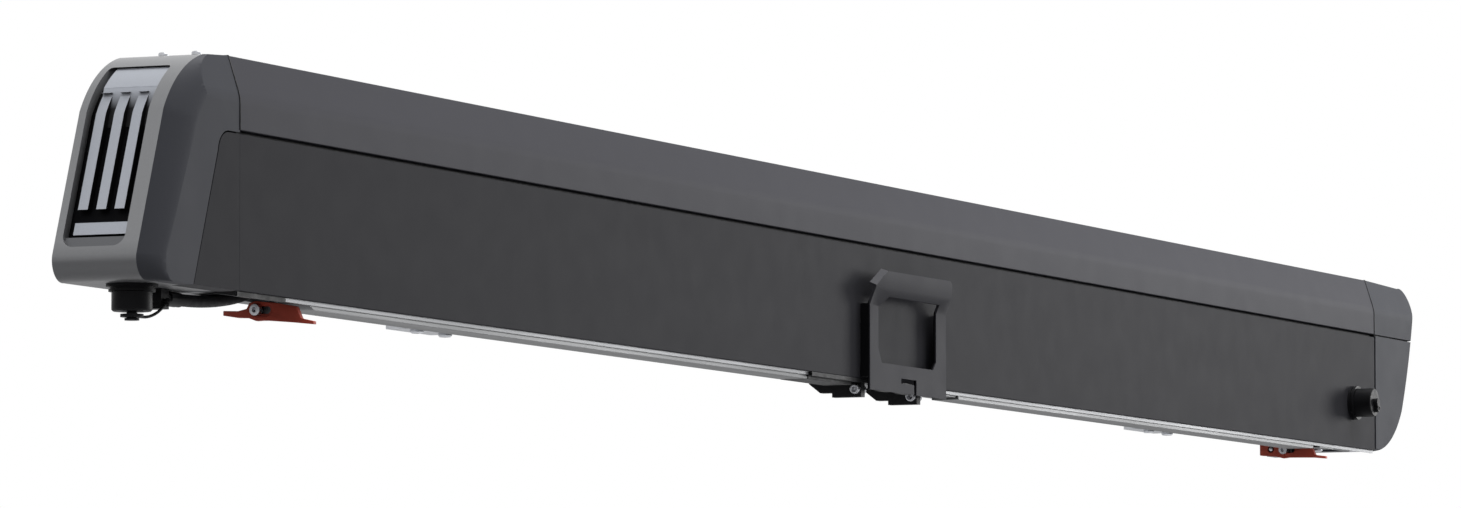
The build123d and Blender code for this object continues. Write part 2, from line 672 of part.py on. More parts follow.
def forearm_ends(side):
    """Elbow eye and wrist eye, two castings pushed into the ends of the forearm."""
    x, y = -SHOULDER_X, WRIST_Y
    half = BAR_HEIGHT / 2
    eye_z = ARM_Z - EYE_HALF_HEIGHT
    eye_h = 2 * EYE_HALF_HEIGHT
    gap = RUNNING_GAP if side < 0 else OPEN_WRIST_GAP
    wrist = rod("Z", (x, y, eye_z), EYE_R, eye_h)
    wrist += block((x, x + BAR_START), (y - EYE_R + 3, y + EYE_R - 3), (eye_z, eye_z + eye_h))
    wrist += block((x + BAR_START - 2, x + BAR_START), (y - BAR_WIDTH / 2, y + BAR_WIDTH / 2),
                   (ARM_Z - half, ARM_Z + half))
    wrist += bar_plug(x + BAR_START, x + BAR_START + 40, y)
    wrist -= rod("Z", (x, y, eye_z - 1), ARM_PIN_R + gap, eye_h + 2)
    ex = x + LINK
    eye = bar_plug(ex - ELBOW_START - 40, ex - ELBOW_START, y)
    eye += block((ex - ELBOW_START, ex - ELBOW_START + 2), (y - BAR_WIDTH / 2, y + BAR_WIDTH / 2),
                 (ARM_Z - half, ARM_Z + half))
    eye += plan([(ex - ELBOW_START + 1, ELBOW_Y - EYE_R + 6), (ex, ELBOW_Y - 2), (ex + EYE_R - 2, ELBOW_Y - 6),
                 (ex - 2, y - 4), (ex - ELBOW_START + 1, y - BAR_WIDTH / 2)], eye_z, eye_z + eye_h)
    eye += rod("Z", (ex, ELBOW_Y, eye_z), EYE_R, eye_h)
    eye -= rod("Z", (ex, ELBOW_Y, eye_z - 1), ARM_PIN_R + RUNNING_GAP, eye_h + 2)
    pair = [one(wrist), one(eye)]
    if side > 0:
        pair = [one(mirrored(p)) for p in pair]
    return Compound(children=pair)


def wrist_bracket(side):
    """Fork bolted to the back of the lead rail, with its pin."""
    x, y = -SHOULDER_X, WRIST_Y
    z0, z1 = ARM_Z - FORK_HALF_HEIGHT, ARM_Z + FORK_HALF_HEIGHT
    fork = block((x - 40, x + 12), (RAIL_BACK_Y, RAIL_BACK_Y + 1), (z0, z1))
    for z in (z0, ARM_Z + FORK_HALF_GAP):
        fork += plan([(x - 40, RAIL_BACK_Y), (x + 12, RAIL_BACK_Y), (x + EYE_R, y), (x, y + EYE_R),
                      (x - EYE_R, y), (x - 40, RAIL_BACK_Y + 5)], z, z + FORK_HALF_HEIGHT - FORK_HALF_GAP)
    fork += rod("Z", (x, y, z0), ARM_PIN_R, z1 - z0)
    return one(mirrored(fork) if side > 0 else fork)


# Lead rail

def lead_rail_profile():
    """Hollow section with the hem groove on top and the leg channel underneath."""
    web_y = FRONT_Y + PANEL_THICK
    rail = block((-HALF, HALF), (web_y, RAIL_BACK_Y), (RAIL_BOTTOM_Z, RAIL_TOP_Z))
    rail -= block((-HALF - 1, HALF + 1), (web_y + RAIL_WALL, RAIL_BACK_Y - RAIL_WALL), (-18, 8))
    rail -= block((-HALF - 1, HALF + 1), (web_y + RAIL_WALL, RAIL_BACK_Y - RAIL_WALL),
                  (RAIL_BOTTOM_Z + RAIL_WALL, -20))
    rail -= rod("X", (-HALF - 1, HEM_Y, HEM_Z), HEM_R, 2 * HALF + 2)
    rail -= block((-HALF - 1, HALF + 1), (HEM_Y, RAIL_BACK_Y + 1), (HEM_Z - 1.2, HEM_Z + 1.2))
    rail += block((-HALF, HALF), (RAIL_BACK_Y - 1, CHANNEL_BACK_Y), (RAIL_BOTTOM_Z, RAIL_BOTTOM_Z + RAIL_WALL))
    rail += block((-HALF, HALF), (CHANNEL_BACK_Y - RAIL_WALL, CHANNEL_BACK_Y), (-74, RAIL_BOTTOM_Z))
    rail += block((-HALF, HALF), (web_y, web_y + 0.7), (LIP_Z, RAIL_BOTTOM_Z))
    return one(rail)


def front_panel():
    panel = block((-HALF, HALF), (FRONT_Y, FRONT_Y + PANEL_THICK), (BOTTOM_Z, PANEL_TOP_Z))
    return one(panel)


def leg_hinges():
    """Two blocks in the leg channel, each with the pin that its leg swings on."""
    blocks = []
    half = LEG_SIZE / 2
    for x, sign in ((LEFT_PIVOT_X, -1), (RIGHT_PIVOT_X, 1)):
        near, far = x - sign * 40, x + sign * 12
        body = block((min(near, far), max(near, far)), (HINGE_FRONT_Y, HINGE_BACK_Y),
                     (HINGE_BOTTOM_Z, RAIL_BOTTOM_Z))
        pin = rod("Y", (x, LEG_Y - half, LEG_Z), LEG_PIN_R, LEG_SIZE + 1)
        blocks.append(one(body + pin))
    return Compound(children=blocks)


# Legs, drawn for the left side; the right one is the mirror image with its own pivot

def pivot_x(side):
    return LEFT_PIVOT_X if side < 0 else -RIGHT_PIVOT_X


def foot_x(side):
    parked = LEFT_PARKED if side < 0 else RIGHT_PARKED
    return pivot_x(side) + LEG_LENGTH + parked


def leg_outer(side):
    half, tall = LEG_SIZE / 2, LEG_HEIGHT / 2
    x0 = pivot_x(side)
    leg = block((x0, x0 + LEG_LENGTH), (LEG_Y - half, LEG_Y + half), (LEG_Z - tall, LEG_Z + tall))
    leg += rod("Y", (x0, LEG_Y - half, LEG_Z), tall, LEG_SIZE)
    leg -= block((x0 + 20, x0 + LEG_LENGTH + 1), (LEG_Y - half + LEG_WALL, LEG_Y + half - LEG_WALL),
                 (LEG_Z - tall + LEG_WALL, LEG_Z + tall - LEG_WALL))
    leg -= rod("Y", (x0, LEG_Y - half - 1, LEG_Z), LEG_PIN_R + RUNNING_GAP, LEG_SIZE + 2)
    low, high = LEG_GROOVE
    leg -= block((x0 - 20, x0 + LEG_LENGTH + 1), (LEG_Y - half - 1, LEG_Y - half + 0.6),
                 (LEG_Z + low, LEG_Z + high))
    return one(mirrored(leg) if side > 0 else leg)


def leg_inner(side):
    half, tall = INNER_SIZE / 2, INNER_HEIGHT / 2
    x1 = foot_x(side)
    inner = block((x1 - INNER_LENGTH, x1), (LEG_Y - half, LEG_Y + half), (LEG_Z - tall, LEG_Z + tall))
    inner -= block((x1 - INNER_LENGTH - 1, x1 - 14), (LEG_Y - half + LEG_WALL, LEG_Y + half - LEG_WALL),
                   (LEG_Z - tall + LEG_WALL, LEG_Z + tall - LEG_WALL))
    inner += block((x1, x1 + 6), (LEG_Y - 6, LEG_Y + 6), (LEG_Z - 7, LEG_Z + 7))
    inner += rod("Y", (x1 + 6, LEG_Y - 6, LEG_Z), 7, 12)
    inner -= rod("Y", (x1 + 6, LEG_Y - 7, LEG_Z), FOOT_PIN_R + RUNNING_GAP, 14)
    return one(mirrored(inner) if side > 0 else inner)


def foot(side):
    """Foot with two ears and a pin at the end of the inner leg; its sole faces along the folded leg."""
    pin_x = foot_x(side) + 6
    sole_x = pin_x + 9
    half = LEG_SIZE / 2
    front, rear = LEG_Y - half + 0.6, LEG_Y + half - 0.6
    section = [(FOOT_FRONT_Y, FOOT_TOP_Z), (front, FOOT_TOP_Z), (front, FOOT_CROWN_Z), (rear, FOOT_CROWN_Z),
               (rear, FOOT_TOP_Z + 3), (FOOT_REAR_Y, FOOT_TOP_Z + 3), (FOOT_REAR_Y, FOOT_TOP_Z),
               (FOOT_REAR_Y - 10.6, FOOT_BOTTOM_Z + 4), (FOOT_STEP_Y, FOOT_BOTTOM_Z + 4),
               (FOOT_STEP_Y, FOOT_BOTTOM_Z), (FOOT_FRONT_Y, FOOT_BOTTOM_Z)]
    body = along_x(section, sole_x, sole_x + FOOT_THICK)
    for y_in in (LEG_Y - 10.6, LEG_Y + 6.6):
        ear = block((pin_x, sole_x + 1), (y_in, y_in + 4), (LEG_Z - 6, LEG_Z + 6))
        body += ear + rod("Y", (pin_x, y_in, LEG_Z), 6, 4)
    body += rod("Y", (pin_x, LEG_Y - 10.6, LEG_Z), FOOT_PIN_R, 21.2)
    for start in (sole_x - CAP_HEAD, sole_x + FOOT_THICK):
        head = rod("X", (start, *FOOT_BOLT), CAP_HEAD_R, CAP_HEAD)
        body += head - rod("X", (start - 1, *FOOT_BOLT), CAP_HEAD_R / 2, CAP_HEAD + 2)
    return one(mirrored(body) if side > 0 else body)


# Handle on the lead rail

def handle_side():
    """Section of the bent handle plate (Y, Z)."""
    y = HANDLE_Y
    t = HANDLE_THICK
    low_z, high_z = HANDLE_BEND_Z
    return [(y, HANDLE_BOTTOM_Z), (y, low_z), (y - HANDLE_BEND, high_z), (y - HANDLE_BEND, HANDLE_TOP_Z),
            (y - HANDLE_BEND - t, HANDLE_TOP_Z), (y - HANDLE_BEND - t, high_z - 0.6), (y - t, low_z - 0.6),
            (y - t, HANDLE_BOTTOM_Z)]


def hand_window():
    left, right = WINDOW_X
    low, high = WINDOW_Z
    return outline((left, low + 12), (left + 7.5, low), (right - 7, low), (right, low + 7), (right, high),
                   (left + 17, high), (left, high - 10))


def handle_ear():
    """Strip folded back along the cut corner of the handle plate."""
    fold_x, fold_z = HANDLE_CORNER
    heading = (fold_x, 0, fold_z)
    corner = (HANDLE_X[0], HANDLE_Y - HANDLE_BEND, HANDLE_TOP_Z - HANDLE_TOP_FALL - fold_z)
    across = Plane(origin=corner, x_dir=(0, 1, 0), z_dir=heading)
    strip = outline((-HANDLE_THICK, 0), (3.3, 2.8), (4.2, 1.0), (-HANDLE_THICK + 0.9, -1.8))
    return extrude(across * strip, amount=math.hypot(fold_x, fold_z))


def handle_plate():
    """Bent plate with a hand window, a slot beside its locking tab and flanges back to the panel."""
    front, back = HANDLE_Y - 20, HANDLE_Y + 5
    left, right = HANDLE_X
    plate = along_x(handle_side(), left, right)
    plate -= along_y(hand_window(), back, front)
    fold_x, fold_z = HANDLE_CORNER
    cut_z = HANDLE_TOP_Z - HANDLE_TOP_FALL - fold_z
    above = outline((left - 1, HANDLE_TOP_Z + 1), (right + 1, HANDLE_TOP_Z + 1),
                    (right + 1, HANDLE_TOP_Z - 3),
                    (right - 4, HANDLE_TOP_Z), (left + fold_x, HANDLE_TOP_Z - HANDLE_TOP_FALL),
                    (left, cut_z), (left - 1, cut_z))
    plate -= along_y(above, back, front)
    bottom = HANDLE_BOTTOM_Z - 1
    near, far = TAB_SLOT_X
    under = TAB_SLOT_Z - TAB_SLOT_BAR
    inner = far - TAB_SLOT_LEG
    tab_slot = outline((near, TAB_SLOT_Z), (far, TAB_SLOT_Z), (far, bottom), (inner, bottom), (inner, under),
                       (near, under))
    plate -= along_y(tab_slot, back, front)
    for x in (left, right - HANDLE_THICK):
        plate += block((x, x + HANDLE_THICK), (HANDLE_Y - 1, FRONT_Y - FLANGE_GAP), FLANGE_Z)
    return one(plate + handle_ear())


def handle_mount():
    """Two moulded blocks that hold the handle plate under the lead rail's front lip."""
    blocks = []
    for x0, x1 in MOUNT_X:
        body = block((x0, x1), (HANDLE_Y, FRONT_Y + PANEL_THICK), MOUNT_Z)
        body = chamfer(body.edges().filter_by(Axis.Y).group_by(Axis.Z)[0], 2)
        body += block((x0 + 4, x1 - 4), (FRONT_Y, FRONT_Y + PANEL_THICK + 0.6), (MOUNT_Z[0] + 3, LIP_Z))
        blocks.append(one(body))
    return Compound(children=blocks)


# Sockets, gland and cable

def ring_stack(levels, centre_x, centre_y, z_top):
    """Round parts hanging down from z_top: (radius, height) for each step."""
    shape = None
    z = z_top
    for radius, height in levels:
        z -= height
        step = rod("Z", (centre_x, centre_y, z), radius, height)
        shape = step if shape is None else shape + step
    return shape


def power_socket():
    body = ring_stack(SOCKET_RINGS + [(12.0, 4.0)], POWER_X, POWER_Y, BOTTOM_Z)
    body += rod("Z", (POWER_X, POWER_Y, BOTTOM_Z), 12.0, 22)
    return one(body)


def power_cap():
    top = DUST_CAP_Z
    body = rod("Z", (POWER_X, POWER_Y, top - 14), CAP_R, 14)
    body = chamfer(body.edges().group_by(Axis.Z)[0], 1.2)
    body -= rod("Z", (POWER_X, POWER_Y, top - 5), 12.4, 6)
    body += rod("Z", (POWER_X, POWER_Y, top - 20.5), 4.0, 7)
    body += rod("Z", (POWER_X, POWER_Y, top - 20.5), 5.4, 1.6)
    return one(body)


def tether_route():
    """Strap from the ring on the dust cap's knob up to the lug on the front of the gland."""
    y = POWER_Y
    z = DUST_CAP_Z - 17.0
    return [(POWER_X + 8.6, y, z), (POWER_X + 17.4, y - 0.3, z - 0.2), (POWER_X + 25.8, y - 0.9, z + 0.9),
            (POWER_X + 33.6, y - 1.6, z + 3.4), (POWER_X + 40.6, y - 2.3, z + 7.0),
            (POWER_X + 46.6, y - 2.9, z + 11.4)]


def route_radii(points):
    radii = []
    for a, b, c in zip(points, points[1:], points[2:]):
        before = Vector(*b) - Vector(*a)
        after = Vector(*c) - Vector(*b)
        turn = math.radians(before.get_angle(after))
        radii.append(0.45 * min(before.length, after.length) / math.tan(turn / 2))
    return radii


def power_tether():
    points = tether_route()
    radii = route_radii(points)
    print("tether radii", [round(r, 1) for r in radii])
    path = FilletPolyline(*points, radius=radii)
    start = Vector(*points[0])
    heading = Vector(*points[1]) - start
    section = Plane(origin=start, z_dir=heading) * Circle(TETHER_R)
    cord = sweep(section, path=path)
    length = path.length
    print("tether length", round(length, 1), "volume ratio",
          round(cord.volume / (math.pi * TETHER_R ** 2 * length), 3))
    return one(cord)


def tether_ends():
    """Ring round the knob of the dust cap, and the lug on the gland that holds the strap's end."""
    points = tether_route()
    z = points[0][2]
    ring = rod("Z", (POWER_X, POWER_Y, z - 1.1), 8.5, 2.2) - rod("Z", (POWER_X, POWER_Y, z - 2), 4.4, 4)
    end = Vector(*points[-1])
    heading = (end - Vector(*points[-2])).normalized()
    lug = extrude(Plane(origin=end + heading * 0.15, z_dir=heading) * Circle(LUG_R), amount=LUG_LENGTH)
    lug -= block((POWER_X, GLAND_X), (GLAND_FRONT_Y, POWER_Y + 20), (BOTTOM_Z - 30, BOTTOM_Z))
    return Compound(children=[one(ring), one(lug)])


def led_socket():
    y = FRONT_Y
    body = rod("Y", (LED_X, y - 2.5, LED_Z), 17.0, 2.5)
    body += rod("Y", (LED_X, y - 3.5, LED_Z), 15.5, 1.0)
    body += rod("Y", (LED_X, y - 6, LED_Z), 17.0, 2.5)
    body += rod("Y", (LED_X, y - 10.5, LED_Z), 12.0, 4.5)
    return one(body)


def led_cap():
    """Dust cap with a knob and the small eye for a strap."""
    back = FRONT_Y - 6.3
    front = back - LED_CAP_LENGTH
    body = rod("Y", (LED_X, front, LED_Z), 14.4, LED_CAP_LENGTH)
    body = chamfer(body.edges().group_by(Axis.Y)[0], 1.0)
    body -= rod("Y", (LED_X, back - 6, LED_Z), 12.4, 7)
    body += rod("Y", (LED_X, front - 4, LED_Z), 4.0, 5)
    eye_x, eye_z = LED_X + 3, LED_Z - 6
    body += rod("Y", (eye_x, front - 3.5, eye_z), 3.8, 4)
    return one(body - rod("Y", (eye_x, front - 4, eye_z), 1.8, 3))


def cable_route():
    """Supply cable along the underside of the left end, up through a slot in the cassette floor."""
    y = POWER_Y + 8
    return [(GLAND_X + 14.0, y, CABLE_Z), (GLAND_X + 44.0, y + 0.2, CABLE_Z + 0.8),
            (GLAND_X + 74.0, y + 1.0, CABLE_Z + 3.1), (GLAND_X + 104.0, y + 2.2, CABLE_Z + 7.0),
            (GLAND_X + 132.0, y + 3.6, CABLE_Z + 12.6), (GLAND_X + 158.0, y + 4.6, CABLE_Z + 20.0)]


def cable_gland():
    y = POWER_Y + 8
    body = block((GLAND_X - 30, GLAND_X - 18), (GLAND_FRONT_Y, y + 9), (BOTTOM_Z - 15, BOTTOM_Z))
    for z in (CABLE_Z - 5.0, CABLE_Z + 3.0):
        body -= block((GLAND_X - 31, GLAND_X - 29), (y - 7, y + 7), (z - 1, z + 1))
    body += rod("X", (GLAND_X - 18, y, CABLE_Z), 4.8, 12)
    nut = rod("X", (GLAND_X - 6, y, CABLE_Z), 5.7, 14)
    nut = chamfer(nut.edges().group_by(Axis.X)[-1], 1.0)
    body += nut
    body += rod("X", (GLAND_X + 6, y, CABLE_Z), 5.4, 8)
    return one(body)


def power_cable():
    points = cable_route()
    radii = route_radii(points)
    print("cable radii", [round(r, 1) for r in radii])
    path = FilletPolyline(*points, radius=radii)
    start = Vector(*points[0])
    heading = Vector(*points[1]) - start
    section = Plane(origin=start, z_dir=heading) * Circle(CABLE_R)
    cord = sweep(section, path=path)
    print("cable length", round(path.length, 1), "volume ratio",
          round(cord.volume / (math.pi * CABLE_R ** 2 * path.length), 3))
    return one(cord)


# Latches: plates across the cassette that slide front to back on one bolt each

def left_latch_outline():
    """Lock plate with a finger tail at each end (Y, Z)."""
    return [(-89.4, -100.6), (-78.7, -98.2), (-74.7, -89.0), (-58, -86.1), (-40.5, -84.2), (-35.2, -85.6),
            (-33, -89.9), (-25.8, -91.4), (-13.3, -90.9), (-13.3, -94.5), (-25.1, -96.4), (-34.5, -96.8),
            (-41, -99.2), (-48, -98.9), (-70.7, -100.9), (-89.4, -102.9)]


def right_latch_outline():
    """Lock plate cut square at its rear end (Y, Z)."""
    return [(-88.5, -98.3), (-77.2, -96.8), (-72.4, -86.8), (-58.3, -84.6), (-18.5, -83.8), (-18.5, -96.4),
            (-35.4, -97.7), (-43, -99.6), (-49.5, -98.9), (-75.5, -99.4), (-88.5, -100.7)]


def oval_cut(bolt, radius, x0, x1):
    """Slot for the bolt, open for the plate's travel."""
    y, z = bolt
    cut = rod("X", (x0, y, z), radius, x1 - x0) + rod("X", (x0, y - LATCH_TRAVEL, z), radius, x1 - x0)
    return cut + block((x0, x1), (y - LATCH_TRAVEL, y), (z - radius, z + radius))


def latch(side):
    """Sliding lock plate, slotted for its bolt, with a pocket round the bolt head."""
    half = LATCH_THICK / 2
    if side < 0:
        plate = along_x(left_latch_outline(), -half, half)
        plate -= oval_cut(LEFT_LATCH_BOLT, LATCH_SLOT_R, -half - 1, half + 1)
        plate -= oval_cut(LEFT_LATCH_BOLT, LATCH_POCKET_R, -half - 1, -half + LATCH_POCKET)
        return one(Pos(LEFT_LATCH_X, 0, 0) * plate)
    plate = along_x(right_latch_outline(), -half, half)
    plate -= oval_cut(RIGHT_LATCH_BOLT, LATCH_SLOT_R, -half - 1, half + 1)
    plate -= rod("X", (-half - 1, -30, -90.2), 3.4, LATCH_THICK + 2)
    return one(Pos(RIGHT_LATCH_X, 0, 0) * plate)


def latch_hangers():
    """Castings in the leg channel that the lock plates slide on; the right one closes the channel."""
    x0 = LEFT_LATCH_X + LATCH_THICK / 2 + LATCH_GAP
    low, high = HANGER_Z
    left = block((x0, x0 + 2.4), (HINGE_FRONT_Y, HINGE_BACK_Y), (low, RAIL_BOTTOM_Z))
    left += block((x0, x0 + 2.4), (HINGE_FRONT_Y, HINGE_BACK_Y + 3), (low, high))
    left += block((x0, x0 + 24), (HINGE_BACK_Y + 0.2, HANGER_BACK_Y), (low, high))
    left -= rod("X", (x0 - 1, LEFT_LATCH_BOLT[0], LEFT_LATCH_BOLT[1]), LATCH_SHANK_R, 20)
    x1 = RIGHT_LATCH_X + LATCH_THICK / 2 + LATCH_GAP
    channel_y = LEG_Y - LEG_SIZE / 2
    right = block((x1, x1 + 40), (channel_y, HINGE_BACK_Y), (HANGER_FOOT_Z, RAIL_BOTTOM_Z))
    right += block((x1 + 39, HANGER_PLATE_X), (channel_y, HINGE_BACK_Y - 1), HANGER_PLATE_Z)
    right += block((x1, x1 + 24), (HINGE_BACK_Y - 1, HANGER_WING_Y), (low, high))
    right -= rod("X", (x1 - 1, RIGHT_LATCH_BOLT[0], RIGHT_LATCH_BOLT[1]), LATCH_SHANK_R, 20)
    return Compound(children=[one(left), one(right)])


def cap_screw(head_x, bolt):
    """Socket cap screw along X, its head towards -X and its shank from head_x."""
    y, z = bolt
    head = rod("X", (head_x - CAP_HEAD, y, z), CAP_HEAD_R, CAP_HEAD)
    head -= rod("X", (head_x - CAP_HEAD - 1, y, z), CAP_HEAD_R / 2, CAP_HEAD * 0.8)
    return head


def rail_screws():
    """Cap screws through the lock plates and domed screws under the end of the lead rail."""
    half = LATCH_THICK / 2
    screws = []
    head_x = LEFT_LATCH_X - half + LATCH_POCKET - LATCH_GAP
    shank = rod("X", (head_x, *LEFT_LATCH_BOLT), LATCH_SHANK_R, 20)
    screws.append(one(cap_screw(head_x, LEFT_LATCH_BOLT) + shank))
    head_x = RIGHT_LATCH_X - half - LATCH_GAP
    shank = rod("X", (head_x, *RIGHT_LATCH_BOLT), LATCH_SHANK_R, 22)
    screws.append(one(cap_screw(head_x, RIGHT_LATCH_BOLT) + shank))
    for x, y, z in DOME_AT:
        head = rod("Z", (x, y, z - 3.0), 4.6, 3.0)
        screws.append(one(chamfer(head.edges().group_by(Axis.Z)[0], 1.2)))
    return Compound(children=screws)


# Every node by name

def all_nodes():
    nodes = {
        "back_housing": back_housing(),
        "hood_profile": hood_profile(),
        "hood_seal": hood_seal(),
        "left_end_cap": left_end_cap(),
        "left_end_band": left_end_band(),
        "left_grille_insert": placed(grille_insert(left_outline(), LEFT_SCOOP, LEFT_STEP), -1),
        "right_end_cap": right_end_cap(),
        "right_end_band": right_end_band(),
        "right_grille_insert": placed(grille_insert(right_outline(), RIGHT_SCOOP, RIGHT_STEP), 1),
        "end_cap_screws": end_cap_screws(),
        "wall_bracket_left": wall_bracket(-BRACKET_X),
        "wall_bracket_right": wall_bracket(BRACKET_X),
        "bracket_screws": bracket_screws(),
        "roller_tube": roller_tube(),
        "spring_unit": spring_unit(),
        "canopy_roll": canopy_roll(),
        "canopy_sheet": canopy_sheet(),
        "roller_bushes": roller_bushes(),
        "shoulder_pins": shoulder_pins(),
        "lead_rail_profile": lead_rail_profile(),
        "front_panel": front_panel(),
        "left_rail_cap": left_rail_cap(),
        "right_rail_cap": right_rail_cap(),
        "leg_hinges": leg_hinges(),
        "handle_plate": handle_plate(),
        "handle_mount": handle_mount(),
        "power_socket": power_socket(),
        "power_cap": power_cap(),
        "power_tether": power_tether(),
        "tether_ends": tether_ends(),
        "led_socket": led_socket(),
        "led_cap": led_cap(),
        "cable_gland": cable_gland(),
        "power_cable": power_cable(),
        "latch_hangers": latch_hangers(),
        "rail_screws": rail_screws(),
    }
    for name, side in (("left", -1), ("right", 1)):
        nodes["roller_bracket_" + name] = roller_bracket(side)
        nodes["roller_plug_" + name] = roller_plug(side)
        nodes["shoulder_bracket_" + name] = shoulder_bracket(side)
        nodes["upper_arm_" + name] = upper_arm(side)
        nodes["upper_arm_ends_" + name] = upper_arm_ends(side)
        nodes["forearm_" + name] = forearm(side)
        nodes["forearm_ends_" + name] = forearm_ends(side)
        nodes["wrist_bracket_" + name] = wrist_bracket(side)
        nodes["leg_outer_" + name] = leg_outer(side)
        nodes["leg_inner_" + name] = leg_inner(side)
        nodes["foot_" + name] = foot(side)
        nodes["latch_" + name] = latch(side)
    return nodes


os.makedirs("parts", exist_ok=True)
all_parts = all_nodes()
for node, shape in all_parts.items():
    export_step(shape, os.path.join("parts", node + ".step"))
print("nodes", len(all_parts))
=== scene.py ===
import math

import bmesh
import bpy
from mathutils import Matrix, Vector


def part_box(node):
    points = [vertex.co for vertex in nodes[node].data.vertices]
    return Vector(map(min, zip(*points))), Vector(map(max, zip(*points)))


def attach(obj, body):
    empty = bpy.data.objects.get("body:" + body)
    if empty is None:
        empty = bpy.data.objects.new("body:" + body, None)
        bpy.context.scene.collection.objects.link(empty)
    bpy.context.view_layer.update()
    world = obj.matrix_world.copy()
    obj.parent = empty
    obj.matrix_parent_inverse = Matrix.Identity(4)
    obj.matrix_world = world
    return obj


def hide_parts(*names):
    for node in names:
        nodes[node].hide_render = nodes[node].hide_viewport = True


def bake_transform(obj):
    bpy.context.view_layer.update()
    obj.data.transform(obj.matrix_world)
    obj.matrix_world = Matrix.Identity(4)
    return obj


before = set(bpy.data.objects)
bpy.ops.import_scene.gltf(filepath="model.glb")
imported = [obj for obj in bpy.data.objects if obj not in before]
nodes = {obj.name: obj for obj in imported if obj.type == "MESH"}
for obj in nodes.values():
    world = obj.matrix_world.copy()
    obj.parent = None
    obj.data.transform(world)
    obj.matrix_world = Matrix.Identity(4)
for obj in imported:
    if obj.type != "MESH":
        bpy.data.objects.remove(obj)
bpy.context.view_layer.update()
scene = bpy.context.scene

# Camera at the photograph's viewing angle: place, turn, tilt and focal length
CAMERA_AT = (-6.45441, -2.79613, -0.50293)
CAMERA_YAW = 24.0023
CAMERA_PITCH = 4.3449
FOCAL_PIXELS = 8001.1
FRAME_WIDTH = 1461
SENSOR = 36.0


def make_camera():
    """Camera fitted to the photograph."""
    data = bpy.data.cameras.new("camera")
    data.sensor_width = SENSOR
    data.lens = SENSOR * FOCAL_PIXELS / FRAME_WIDTH
    data.clip_start = 0.1
    data.clip_end = 300
    camera = bpy.data.objects.new("camera", data)
    scene.collection.objects.link(camera)
    yaw, pitch = math.radians(CAMERA_YAW), math.radians(CAMERA_PITCH)
    level = math.cos(pitch)
    ahead = Vector((math.cos(yaw) * level, math.sin(yaw) * level, math.sin(pitch)))
    camera.location = CAMERA_AT
    camera.rotation_mode = "QUATERNION"
    camera.rotation_quaternion = ahead.to_track_quat("-Z", "Y")
    scene.camera = camera


# Materials

def linear(*rgb):
    """Colour as 0 to 255 in the photograph's own scale, turned into linear values."""
    out = []
    for c in rgb:
        c = c / 255
        out.append(c / 12.92 if c <= 0.04045 else ((c + 0.055) / 1.055) ** 2.4)
    return (*out, 1.0)


# Sockets of the mix node when it mixes colours
MIX_COLOUR_A, MIX_COLOUR_B, MIX_COLOUR_OUT = 6, 7, 2


